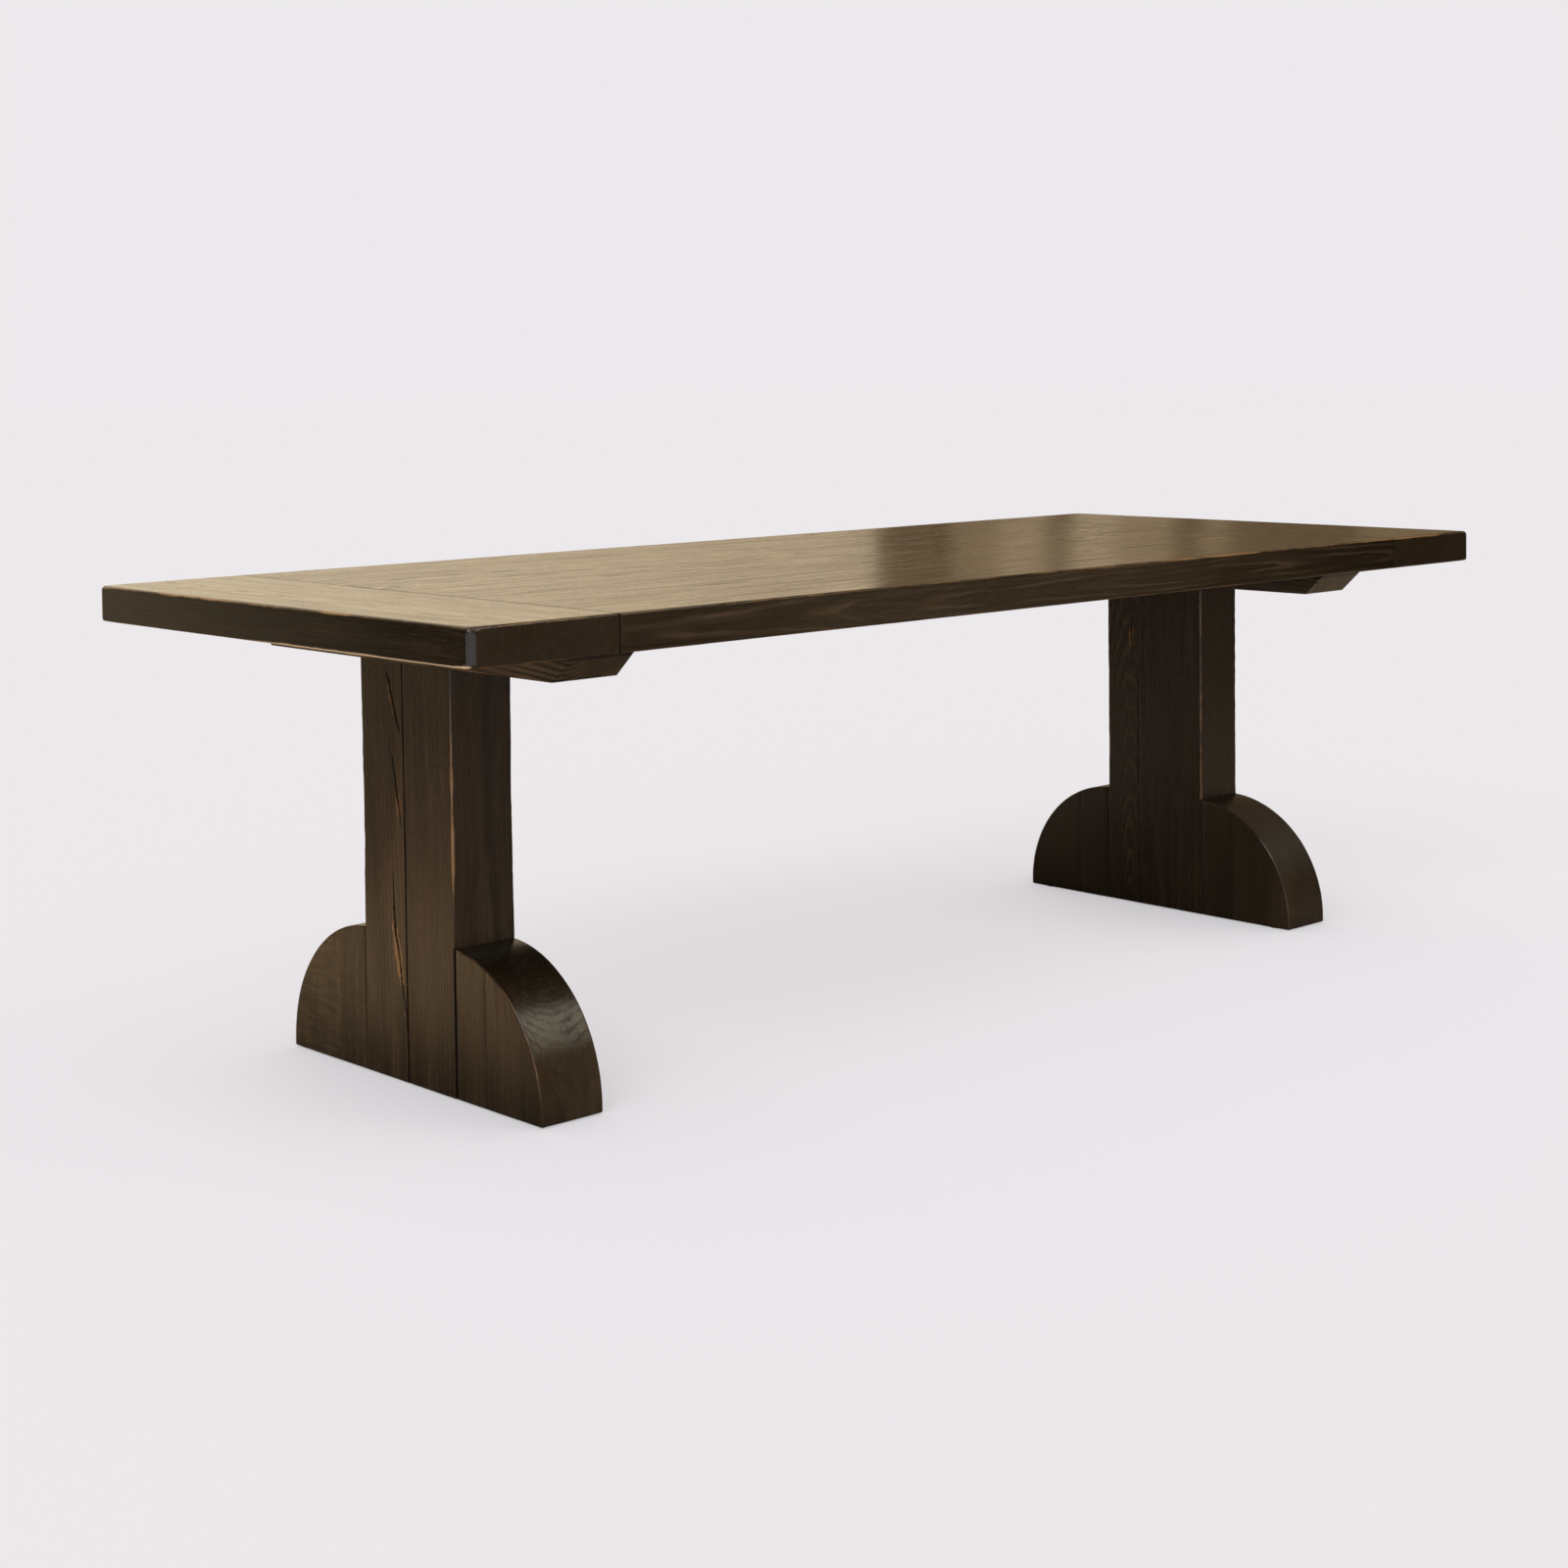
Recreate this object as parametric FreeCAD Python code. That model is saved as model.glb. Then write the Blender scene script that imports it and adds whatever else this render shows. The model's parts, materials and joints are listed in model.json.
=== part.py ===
"""A dark oak trestle dining table: a plank top with breadboard ends on two slab pedestals.

Millimetres. The origin is on the floor under the middle of the top, +X runs along the top and +Z is up.
Left is the -X end, near is the -Y side. Every board is a solid of its own, and small fixings that
repeat share one node.
"""
import FreeCAD
import Part
import math
import os

# Overall
length = 2400.0
width = 1000.0
height = 760.0

# Top: planks along the table between two cross-grain breadboards
top_thickness = 57.0
breadboard_width = 258.0
plank_width_shares = (0.179, 0.189, 0.162, 0.165, 0.150, 0.155)
corner_radius = 11.0
top_arris = 4.0
under_arris = 2.0
seam_ease = 0.9

# Loose tongues glued between the planks
plank_spline_thickness = 12.0
plank_spline_width = 32.0
plank_spline_setback = 25.0

# Tongue on the plank ends, held in the breadboard's stopped groove by pegs from below
tongue_thickness = 19.0
tongue_length = 40.0
tongue_setback = 30.0
groove_room = 2.0
groove_end_room = 3.0
peg_radius = 6.0
peg_bite = 9.0
peg_place_share = 0.5
seasonal_play_share = 0.006

# Pedestals: a post of two boards that stands on the floor, with a rounded ear on each side
pedestal_setback = 297.0
slab_thickness = 114.0
post_width = 237.0
foot_width = 655.0
ear_upright = 10.0
ear_arc_tuck = 9.0
ear_inner_width = 75.0
post_seam_left = 6.0
post_seam_right = 40.0
pedestal_arris = 3.0
joint_ease = 0.7

# Loose tongues between the two post boards, and long dowels that tie each ear to the post
post_spline_thickness = 12.0
post_spline_width = 40.0
post_spline_low = 30.0
post_spline_drop = 53.0
post_spline_place_share = 0.21
ear_dowel_radius = 7.0
ear_dowel_bite = 38.0
ear_dowel_place_share = 0.25
ear_dowel_height_shares = (0.2, 0.46, 0.72)

# Cross batten under the top, on the post's stub tenon
batten_width = 122.0
batten_height = 50.0
batten_length = 848.0
batten_bevel_run = 54.0
batten_arris = 2.0
tenon_thickness = 38.0
tenon_height = 34.0
tenon_shoulder = 30.0

# Coach screws down through the batten into the post
coach_radius = 5.0
coach_length = 110.0
coach_tip = 12.0
coach_head_flats = 17.0
coach_head_height = 7.0
coach_washer_radius = 12.0
coach_washer_thickness = 2.0
coach_recess_spare = 1.0
coach_place_x_share = 0.333
coach_place_y_share = 0.253

# Machine bolts up through slots in the batten into threaded inserts in the planks
bolt_radius = 4.0
bolt_reach = 15.0
bolt_recess = 14.0
bolt_head_radius = 6.5
bolt_head_height = 8.0
bolt_socket_flats = 6.0
bolt_socket_depth = 4.0
bolt_washer_radius = 10.0
bolt_washer_thickness = 1.6
bolt_slot_play = 3.0
bolt_place_shares = (-0.342, -0.189, 0.189, 0.342)
insert_radius = 8.0
insert_length = 18.0
insert_room = 2.0

# Nylon glides pressed into the foot's four corners
glide_radius = 16.0
glide_thickness = 5.0
glide_recess = 3.0
glide_edge = 1.0
glide_stem_radius = 4.0
glide_stem_length = 20.0
glide_place_share = 0.31
glide_inset = 42.0

# Fits
glue_gap = 0.1
end_room = 1.0
bolt_clearance = 0.5
recess_clearance = 1.0

# Cutters run past what they cut by the overrun, and edges are told apart to within the tolerance
overrun = 5.0
tolerance = 0.01
hexagon_sides = 6

# Derived levels and places
underside = height - top_thickness
top_middle = height - top_thickness / 2
batten_low = underside - batten_height
foot_bottom = glide_thickness - glide_recess
field_half = length / 2 - breadboard_width
slab_half = slab_thickness / 2
post_half = post_width / 2
foot_half = foot_width / 2
ear_radius = foot_half - post_half + ear_arc_tuck
ear_centre_y = foot_half - ear_radius
ear_centre_z = foot_bottom + ear_upright
ear_top = ear_centre_z + math.sqrt(ear_radius ** 2 - ear_arc_tuck ** 2)
ear_joint = post_half + ear_inner_width
pedestal_x = length / 2 - pedestal_setback
sides = {"left": -pedestal_x, "right": pedestal_x}
post_seams = {"left": post_seam_left, "right": post_seam_right}


def box(x0, x1, y0, y1, z0, z1):
    """A block between two opposite corners."""
    return Part.makeBox(x1 - x0, y1 - y0, z1 - z0, FreeCAD.Vector(x0, y0, z0))


def rod(radius, start, end):
    """A round bar between two points."""
    run = end - start
    return Part.makeCylinder(radius, run.Length, start, run)


def upright_rod(radius, x, y, z0, z1):
    return rod(radius, FreeCAD.Vector(x, y, z0), FreeCAD.Vector(x, y, z1))


def upright_slot(radius, play, x, y, z0, z1):
    """A hole with round ends, longer along Y by the play on each side."""
    middle = box(x - radius, x + radius, y - play, y + play, z0, z1)
    ends = [upright_rod(radius, x, y + shift, z0, z1) for shift in (-play, play)]
    return middle.fuse(ends).removeSplitter()


def ring(outer, inner, x, y, z0, z1):
    return upright_rod(outer, x, y, z0, z1).cut(upright_rod(inner, x, y, z0, z1))


def prism(points, run):
    """A flat outline pushed along a vector."""
    return Part.Face(Part.makePolygon(points + points[:1])).extrude(run)


def hexagon(flats, x, y, z0, z1):
    """An upright six-sided bar, measured across its flats."""
    reach = flats / math.sqrt(3)
    turns = [2 * math.pi * corner / hexagon_sides for corner in range(hexagon_sides)]
    points = [FreeCAD.Vector(x + reach * math.cos(a), y + reach * math.sin(a), z0) for a in turns]
    return prism(points, FreeCAD.Vector(0, 0, z1 - z0))


def vee(point, across, inward, run, depth):
    """A small vee cutter along an edge, for the eased joint between two boards."""
    outside = point - inward * depth
    corners = [outside - across * (2 * depth), outside + across * (2 * depth), point + inward * depth]
    return prism(corners, run)


def eased(shape, radius, wanted):
    """The shape with a round of that radius on each edge for which wanted(edge box) is true."""
    edges = [edge for edge in shape.Edges if wanted(edge.BoundBox)]
    return shape.makeFillet(radius, edges)


def at(value, low, high):
    """Whether an edge lies wholly at one place along an axis."""
    return abs(low - value) < tolerance and abs(high - value) < tolerance


def cut_all(shape, tools):
    """The shape less the tools that reach it."""
    reached = [tool for tool in tools if shape.BoundBox.intersect(tool.BoundBox)]
    return shape.cut(reached) if reached else shape


def plank_edges():
    """The Y of each plank edge, from the near side to the far side."""
    edges = [-width / 2]
    for share in plank_width_shares:
        edges.append(edges[-1] + share * width)
    return edges


def whole_top():
    """The outside of the finished top, from which the planks and breadboards are taken."""
    slab = box(-length / 2, length / 2, -width / 2, width / 2, underside, height)
    slab = eased(slab, corner_radius, lambda b: b.ZLength > top_thickness / 2)
    slab = eased(slab, top_arris, lambda b: at(height, b.ZMin, b.ZMax))
    slab = eased(slab, under_arris, lambda b: at(underside, b.ZMin, b.ZMax))
    seams = []
    for x in (-field_half, field_half):
        across = FreeCAD.Vector(1, 0, 0)
        start = FreeCAD.Vector(x, -width / 2 - overrun, height)
        run = FreeCAD.Vector(0, width + 2 * overrun, 0)
        seams.append(vee(start, across, FreeCAD.Vector(0, 0, -1), run, seam_ease))
        for side in (-1, 1):
            foot = FreeCAD.Vector(x, side * width / 2, underside - overrun)
            rise = FreeCAD.Vector(0, 0, top_thickness + 2 * overrun)
            seams.append(vee(foot, across, FreeCAD.Vector(0, -side, 0), rise, seam_ease))
    return slab.cut(seams)


def peg_places():
    """One peg in the middle of each plank at both ends: end, side, Y."""
    edges = plank_edges()
    middles = [(a + b) / 2 for a, b in zip(edges, edges[1:])]
    x = field_half + peg_place_share * tongue_length
    return [(end, sign * x, y) for end, sign in (("left", -1), ("right", 1)) for y in middles]


def bolt_places():
    """Where the top is bolted down to the battens: side, X, Y."""
    return [(side, x, share * batten_length) for side, x in sides.items() for share in bolt_place_shares]


def insert_holes():
    """Blind holes in the underside of the top for the threaded inserts."""
    radius = insert_radius + glue_gap
    hole_top = underside + insert_length + insert_room
    return [upright_rod(radius, x, y, underside - overrun, hole_top) for _, x, y in bolt_places()]


def make_planks(top):
    """The planks of the field, with grooved edges and a tongue at each end."""
    edges = plank_edges()
    groove_half = plank_spline_width / 2 + end_room
    tongue_edge = width / 2 - tongue_setback
    tools = []
    for y in edges[1:-1]:
        reach = field_half - plank_spline_setback + end_room
        rise = plank_spline_thickness / 2 + glue_gap
        y0, y1 = y - groove_half, y + groove_half
        tools.append(box(-reach, reach, y0, y1, top_middle - rise, top_middle + rise))
    for _, x, y in peg_places():
        play = seasonal_play_share * abs(y)
        tools.append(upright_slot(peg_radius + glue_gap, play, x, y, underside, height))
    tools += insert_holes()
    made = {}
    for number, (y0, y1) in enumerate(zip(edges, edges[1:]), 1):
        plank = top.common(box(-field_half, field_half, y0, y1, underside, height))
        tongue_low = top_middle - tongue_thickness / 2
        tongue_high = top_middle + tongue_thickness / 2
        low, high = max(y0, -tongue_edge), min(y1, tongue_edge)
        reach = field_half + tongue_length
        plank = plank.fuse(box(-reach, reach, low, high, tongue_low, tongue_high)).removeSplitter()
        made[f"plank_{number}"] = cut_all(plank, tools)
    return made


def make_plank_splines():
    reach = field_half - plank_spline_setback
    half, rise = plank_spline_width / 2, plank_spline_thickness / 2
    bars = [box(-reach, reach, y - half, y + half, top_middle - rise, top_middle + rise)
            for y in plank_edges()[1:-1]]
    return {"plank_splines": Part.makeCompound(bars)}


def make_breadboards(top):
    """The two end boards, with a stopped groove for the tongues and blind peg holes from below."""
    made = {}
    peg_top = top_middle + tongue_thickness / 2 + peg_bite
    for end, sign in (("left", -1), ("right", 1)):
        x0, x1 = sorted((sign * field_half, sign * length / 2))
        board = top.common(box(x0, x1, -width / 2, width / 2, underside, height))
        g0, g1 = sorted((sign * (field_half - overrun), sign * (field_half + tongue_length + groove_room)))
        edge = width / 2 - tongue_setback + groove_end_room
        rise = tongue_thickness / 2 + glue_gap
        tools = [box(g0, g1, -edge, edge, top_middle - rise, top_middle + rise)]
        places = [(x, y) for name, x, y in peg_places() if name == end]
        for x, y in places:
            radius = peg_radius + glue_gap
            tools.append(upright_rod(radius, x, y, underside - overrun, peg_top + end_room))
        made[f"breadboard_{end}"] = cut_all(board, tools + insert_holes())
        pegs = [upright_rod(peg_radius, x, y, underside, peg_top) for x, y in places]
        made[f"breadboard_pegs_{end}"] = Part.makeCompound(pegs)
    return made


def make_top_fixings():
    """Bolts with washers, in slots in the battens, and their threaded inserts in the planks."""
    bolts, washers, inserts = ({side: [] for side in sides} for _ in range(3))
    washer_top = batten_low + bolt_recess
    head_top = washer_top - bolt_washer_thickness
    head_low = head_top - bolt_head_height
    thread_bore = bolt_radius + glue_gap
    washer_bore = bolt_radius + bolt_clearance
    for side, x, y in bolt_places():
        shank = upright_rod(bolt_radius, x, y, head_top, underside + bolt_reach)
        head = upright_rod(bolt_head_radius, x, y, head_low, head_top)
        socket = hexagon(bolt_socket_flats, x, y, head_low, head_low + bolt_socket_depth)
        bolts[side].append(head.cut(socket).fuse(shank).removeSplitter())
        washers[side].append(ring(bolt_washer_radius, washer_bore, x, y, head_top, washer_top))
        inserts[side].append(ring(insert_radius, thread_bore, x, y, underside, underside + insert_length))
    made = {}
    for side in sides:
        made[f"top_bolts_{side}"] = Part.makeCompound(bolts[side])
        made[f"top_washers_{side}"] = Part.makeCompound(washers[side])
        made[f"threaded_inserts_{side}"] = Part.makeCompound(inserts[side])
    return made


def whole_ear(side):
    """One rounded ear beside the post, on the far side (1) or the near side (-1)."""
    def spot(y, z):
        return FreeCAD.Vector(-slab_half, side * y, z)

    half_turn = math.acos((post_half - ear_centre_y) / ear_radius) / 2
    out, up = ear_radius * math.cos(half_turn), ear_radius * math.sin(half_turn)
    halfway = spot(ear_centre_y + out, ear_centre_z + up)
    inner_low, outer_low = spot(post_half, foot_bottom), spot(foot_half, foot_bottom)
    outer_high, inner_high = spot(foot_half, ear_centre_z), spot(post_half, ear_top)
    edges = [
        Part.LineSegment(inner_low, outer_low).toShape(),
        Part.LineSegment(outer_low, outer_high).toShape(),
        Part.Arc(outer_high, halfway, inner_high).toShape(),
        Part.LineSegment(inner_high, inner_low).toShape(),
    ]
    ear = Part.Face(Part.Wire(edges)).extrude(FreeCAD.Vector(slab_thickness, 0, 0))

    def outside(b):
        on_face = at(-slab_half, b.XMin, b.XMax) or at(slab_half, b.XMin, b.XMax)
        beside_post = at(side * post_half, b.YMin, b.YMax)
        toe = at(side * foot_half, b.YMin, b.YMax) and at(foot_bottom, b.ZMin, b.ZMax)
        return on_face and not beside_post or toe

    return eased(ear, pedestal_arris, outside)


def whole_post():
    """The post in one, square below the ears' tops and eased above them, with its stub tenon."""
    def under_wide_face(b):
        return at(foot_bottom, b.ZMin, b.ZMax) and b.YLength > post_half

    lower = box(-slab_half, slab_half, -post_half, post_half, foot_bottom, ear_top)
    lower = eased(lower, pedestal_arris, under_wide_face)
    upper = box(-slab_half, slab_half, -post_half, post_half, ear_top, batten_low)
    upper = eased(upper, pedestal_arris, lambda b: b.ZLength > slab_half)
    tenon_half = post_half - tenon_shoulder
    tenon = box(-tenon_thickness / 2, tenon_thickness / 2, -tenon_half, tenon_half, batten_low,
                batten_low + tenon_height)
    return lower.fuse([upper, tenon]).removeSplitter()


def ear_dowel_ends():
    """Where each long dowel starts in the post and ends in the outer ear board, for one side."""
    ends = []
    for x in (-ear_dowel_place_share * slab_thickness, ear_dowel_place_share * slab_thickness):
        for share in ear_dowel_height_shares:
            z = foot_bottom + share * (ear_top - foot_bottom)
            ends.append((x, post_half - ear_dowel_bite, ear_joint + ear_dowel_bite, z))
    return ends


def coach_places():
    """Where the coach screws go down into the post, from the middle of the batten."""
    return [(sx * coach_place_x_share * slab_thickness, sy * coach_place_y_share * post_width)
            for sx in (-1, 1) for sy in (-1, 1)]


def glide_places():
    """The glides at the four corners of a foot, from its middle."""
    return [(sx * glide_place_share * slab_thickness, sy * (foot_half - glide_inset))
            for sx in (-1, 1) for sy in (-1, 1)]


def coach_levels():
    """The floor of the screw's recess in the batten, and the tip of the screw."""
    floor = underside - coach_head_height - coach_washer_thickness - coach_recess_spare
    return floor, floor - coach_length


def joint_vees(seam):
    """The eased lines where the pedestal's boards meet on its two wide faces."""
    cuts = []
    for y in (-ear_joint, -post_half, seam, post_half, ear_joint):
        top = batten_low if y == seam else ear_top
        for face in (-1, 1):
            foot = FreeCAD.Vector(face * slab_half, y, foot_bottom - overrun)
            rise = FreeCAD.Vector(0, 0, top - foot_bottom + overrun)
            cuts.append(vee(foot, FreeCAD.Vector(0, 1, 0), FreeCAD.Vector(-face, 0, 0), rise, joint_ease))
    return cuts


def pedestal_holes(seam):
    """Dowel, spline, screw and glide holes in the pedestal's boards."""
    holes = []
    for side in (-1, 1):
        for x, start, end, z in ear_dowel_ends():
            deep, far = start - end_room, end + end_room
            holes.append(rod(ear_dowel_radius + glue_gap, FreeCAD.Vector(x, side * deep, z),
                             FreeCAD.Vector(x, side * far, z)))
    for x0, x1, y0, y1, z0, z1 in post_spline_blocks(seam):
        x0, x1 = x0 - glue_gap, x1 + glue_gap
        holes.append(box(x0, x1, y0 - end_room, y1 + end_room, z0 - end_room, z1 + end_room))
    tip = coach_levels()[1]
    for x, y in coach_places():
        holes.append(upright_rod(coach_radius + glue_gap, x, y, tip - end_room, batten_low + tenon_height))
    for x, y in glide_places():
        recess_top = foot_bottom + glide_recess
        holes.append(upright_rod(glide_radius + glue_gap, x, y, foot_bottom - overrun, recess_top))
        stem_top = recess_top + glide_stem_length + end_room
        holes.append(upright_rod(glide_stem_radius + glue_gap, x, y, recess_top, stem_top))
    return holes


def post_spline_blocks(seam):
    """The corners of the two loose tongues across the post's seam."""
    half = post_spline_thickness / 2
    z0, z1 = foot_bottom + post_spline_low, batten_low - post_spline_drop
    return [(x - half, x + half, seam - post_spline_width / 2, seam + post_spline_width / 2, z0, z1)
            for x in (-post_spline_place_share * slab_thickness, post_spline_place_share * slab_thickness)]


def make_batten():
    """The cross batten with bevelled ends, its mortise, screw holes and bolt slots."""
    half, low_half = batten_length / 2, batten_length / 2 - batten_bevel_run
    outline = [(-half, underside), (-low_half, batten_low), (low_half, batten_low), (half, underside)]
    points = [FreeCAD.Vector(-batten_width / 2, y, z) for y, z in outline]
    batten = prism(points, FreeCAD.Vector(batten_width, 0, 0))
    batten = batten.makeFillet(batten_arris, batten.Edges)
    tenon_half = post_half - tenon_shoulder + glue_gap
    cheek = tenon_thickness / 2 + glue_gap
    mortise_top = batten_low + tenon_height + end_room
    tools = [box(-cheek, cheek, -tenon_half, tenon_half, batten_low - overrun, mortise_top)]
    floor = coach_levels()[0]
    for x, y in coach_places():
        tools.append(upright_rod(coach_radius + glue_gap, x, y, batten_low - overrun, floor))
        tools.append(upright_rod(coach_washer_radius + recess_clearance, x, y, floor, underside + overrun))
    ceiling = batten_low + bolt_recess
    bore = bolt_radius + bolt_clearance
    recess = bolt_washer_radius + recess_clearance
    for share in bolt_place_shares:
        y = share * batten_length
        tools.append(upright_slot(bore, bolt_slot_play, 0, y, ceiling, underside + overrun))
        tools.append(upright_slot(recess, bolt_slot_play, 0, y, batten_low - overrun, ceiling))
    return batten.cut(tools)


def make_coach_fixings():
    """The coach screws and their washers in the recesses on top of the batten."""
    floor, tip = coach_levels()
    screws, washers = [], []
    for x, y in coach_places():
        washer_top = floor + coach_washer_thickness
        head = hexagon(coach_head_flats, x, y, washer_top, washer_top + coach_head_height)
        shank = upright_rod(coach_radius, x, y, tip + coach_tip, washer_top)
        point = Part.makeCone(0, coach_radius, coach_tip, FreeCAD.Vector(x, y, tip))
        screws.append(head.fuse([shank, point]).removeSplitter())
        washers.append(ring(coach_washer_radius, coach_radius + bolt_clearance, x, y, floor, washer_top))
    return Part.makeCompound(screws), Part.makeCompound(washers)


def make_glides():
    """Nylon glides: a disc under the foot and a stem pressed up into it."""
    glides = []
    for x, y in glide_places():
        disc = upright_rod(glide_radius, x, y, 0, glide_thickness)
        rim = [edge for edge in disc.Edges if at(0, edge.BoundBox.ZMin, edge.BoundBox.ZMax)]
        disc = disc.makeChamfer(glide_edge, rim)
        stem = upright_rod(glide_stem_radius, x, y, glide_thickness, glide_thickness + glide_stem_length)
        glides.append(disc.fuse(stem).removeSplitter())
    return Part.makeCompound(glides)


def make_pedestal(seam):
    """One pedestal about X = 0: its boards, splines, dowels, batten, screws and glides."""
    holes = pedestal_holes(seam)
    eases = joint_vees(seam)
    beyond = foot_half + overrun
    post = whole_post()

    def between(shape, y0, y1):
        return shape.common(box(-slab_thickness, slab_thickness, min(y0, y1), max(y0, y1), 0, height))

    boards = {"post_near": between(post, -beyond, seam), "post_far": between(post, seam, beyond)}
    for name, side in (("near", -1), ("far", 1)):
        ear = whole_ear(side)
        boards[f"ear_inner_{name}"] = between(ear, side * post_half, side * ear_joint)
        boards[f"ear_outer_{name}"] = between(ear, side * ear_joint, side * beyond)
    made = {name: cut_all(board, holes + eases) for name, board in boards.items()}
    made["post_splines"] = Part.makeCompound([box(*block) for block in post_spline_blocks(seam)])
    dowels = [rod(ear_dowel_radius, FreeCAD.Vector(x, side * start, z), FreeCAD.Vector(x, side * end, z))
              for side in (-1, 1) for x, start, end, z in ear_dowel_ends()]
    made["ear_dowels"] = Part.makeCompound(dowels)
    made["batten"] = make_batten()
    made["coach_screws"], made["coach_washers"] = make_coach_fixings()
    made["glides"] = make_glides()
    return made


def moved(shape, x):
    shape = shape.copy()
    shape.translate(FreeCAD.Vector(x, 0, 0))
    return shape


def make_table():
    """Every node of the table by name."""
    top = whole_top()
    nodes = make_planks(top)
    nodes.update(make_plank_splines())
    nodes.update(make_breadboards(top))
    nodes.update(make_top_fixings())
    for side, x in sides.items():
        for name, shape in make_pedestal(post_seams[side]).items():
            nodes[f"{name}_{side}"] = moved(shape, x)
    return nodes


def main():
    os.makedirs("parts", exist_ok=True)
    for name, shape in make_table().items():
        shape.exportStep(f"parts/{name}.step")
        print(name, len(shape.Solids), round(shape.Volume), shape.isValid())


main()
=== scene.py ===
import itertools
import json
import math

import bpy
import numpy as np
from mathutils import Matrix, Vector


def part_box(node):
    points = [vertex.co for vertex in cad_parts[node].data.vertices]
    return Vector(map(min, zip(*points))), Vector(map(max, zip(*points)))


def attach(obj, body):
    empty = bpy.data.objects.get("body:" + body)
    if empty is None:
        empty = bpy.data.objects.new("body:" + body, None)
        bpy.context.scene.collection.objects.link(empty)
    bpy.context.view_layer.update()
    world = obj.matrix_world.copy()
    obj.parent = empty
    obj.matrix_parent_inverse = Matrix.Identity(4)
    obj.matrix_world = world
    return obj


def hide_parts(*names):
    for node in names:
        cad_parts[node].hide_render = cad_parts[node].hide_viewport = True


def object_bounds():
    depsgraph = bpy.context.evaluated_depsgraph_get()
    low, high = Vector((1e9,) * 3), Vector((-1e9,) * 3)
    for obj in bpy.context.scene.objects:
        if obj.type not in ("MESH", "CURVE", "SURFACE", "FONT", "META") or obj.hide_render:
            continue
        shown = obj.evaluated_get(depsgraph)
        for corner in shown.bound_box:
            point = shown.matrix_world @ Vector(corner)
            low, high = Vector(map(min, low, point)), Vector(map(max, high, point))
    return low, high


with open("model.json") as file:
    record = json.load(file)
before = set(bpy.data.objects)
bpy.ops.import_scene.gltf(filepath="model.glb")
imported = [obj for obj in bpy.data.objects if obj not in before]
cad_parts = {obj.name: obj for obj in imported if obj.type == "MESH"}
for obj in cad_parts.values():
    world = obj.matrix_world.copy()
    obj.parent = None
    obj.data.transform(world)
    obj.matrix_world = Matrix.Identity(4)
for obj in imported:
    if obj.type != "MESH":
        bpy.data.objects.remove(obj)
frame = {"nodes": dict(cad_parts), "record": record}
cad_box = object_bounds()

# Left is -X, near is -Y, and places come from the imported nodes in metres. Lengths here are in millimetres
MM = 0.001
ROOT = "root"
TOP_NODES = [f"plank_{number}" for number in range(1, 7)]
SIDES = ("left", "right")
TOP_THICKNESS = 57
TOP_LOW, TOP_HIGH = cad_box[1].z - TOP_THICKNESS * MM, cad_box[1].z
HAIR = 0.01
AXES = np.eye(3)
EAR_UPRIGHT = 10

# Rounding of worn edges and of eased seams and joints, in millimetres
CORNER_RADIUS = 12.5
TOP_ARRIS = 5.0
UNDER_ARRIS = 2.8
BREADBOARD_SEAM = 1.7
PLANK_SEAM = 0.3
POST_JOINT = 2.4
EAR_JOINT = 1.0
PEDESTAL_ARRIS = 4.2
EAR_ARRIS = 2.8

# How arrises wander and were knocked: noise sizes in millimetres, with their shares
WANDER = ((45, 0.6), (12, 0.4))
KNOCK_SIZES, KNOCK_FROM = (70, 9), 0.35

# Joints sink deeper than they spread. They are darkest on the left pedestal, and paler at the far boards
JOINT_DEEP = 2.2
JOINT_DARK = {"left": 1.0, "right": 0.3}
FAR_JOINT_DARK = 0.45
OUTER_JOINTS = {"far": (0.5, 0.1), "near": (0, 0.3)}
CUT_SHARE = 0.08

# How much the top's corners are blunted, over how many corner radii that fades, and how many fades it reaches
CORNER_BLUNT = 0.6
BLUNT_REACH, BLUNT_END = 2, 1.5

# The upper arris is knocked in places, and on the left end the lower one has a painted pale highlight along
# its crest up to a place across the table. Breadboard seams are marked dark within a share of their rounding.
# Lengths are in millimetres
TOP_KNOCKS, TOP_KNOCK_LEAST, TOP_KNOCK_MORE = (150, 60, 60), 0.75, 1.6
HIGHLIGHT_TO, HIGHLIGHT_FADE, HIGHLIGHT_REACH = 60, 100, 5
SEAM_MARK, SEAM_REACH = 0.8, 0.75

# Relief of the brushed top, in millimetres: hollows between ridges of grain, and broad dips
BRUSHED = (((190, 17, 60), 0.5), ((110, 9, 60), 0.3), ((60, 5, 60), 0.2))
BRUSHED_DEPTH = 0.5
DIP_SIZES, DIP_DEPTH = (260, 90, 50), 0.12

# How worn the arrises of the posts, the ears and the feet are, from 0 to 1, and what the rubbed stretch adds
POST_ROUND, POST_ROUND_MORE = 0.5, 0.65
POST_WEAR, POST_WEAR_MORE = 0.4, 1.2
EAR_WEAR = 0.75
FOOT_WEAR = 0.4

# How high each post's arris was rubbed most, its reach in millimetres, and how many reaches off that ends
RUBBED = {"left": (430, 130), "right": (380, 260)}
RUBBED_END = 1.5

# Grid lines: their places in a rounded end as shares of its radius, how much more than an arris they cover,
# and their spacing on the boards in millimetres
ROUND_STEPS = (0, 0.2, 0.42, 0.68, 1.0, 1.4)
LEAST_APART = 0.1
TOP_ROOM, PEDESTAL_ROOM = 1.6, 1.5
CROSS_STEP = 8.0
PLANK_STEPS = (14, 3.2)
BREADBOARD_STEPS = (3.2, 10)
POST_STEP = 4
EAR_STEPS = (6, 5)
ARC_STEP = math.radians(1.6)
SHARP_ANGLE = math.radians(48)


# Noise and grids

def held(values):
    """Values kept from 0 to 1."""
    return np.clip(values, 0, 1)


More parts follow.
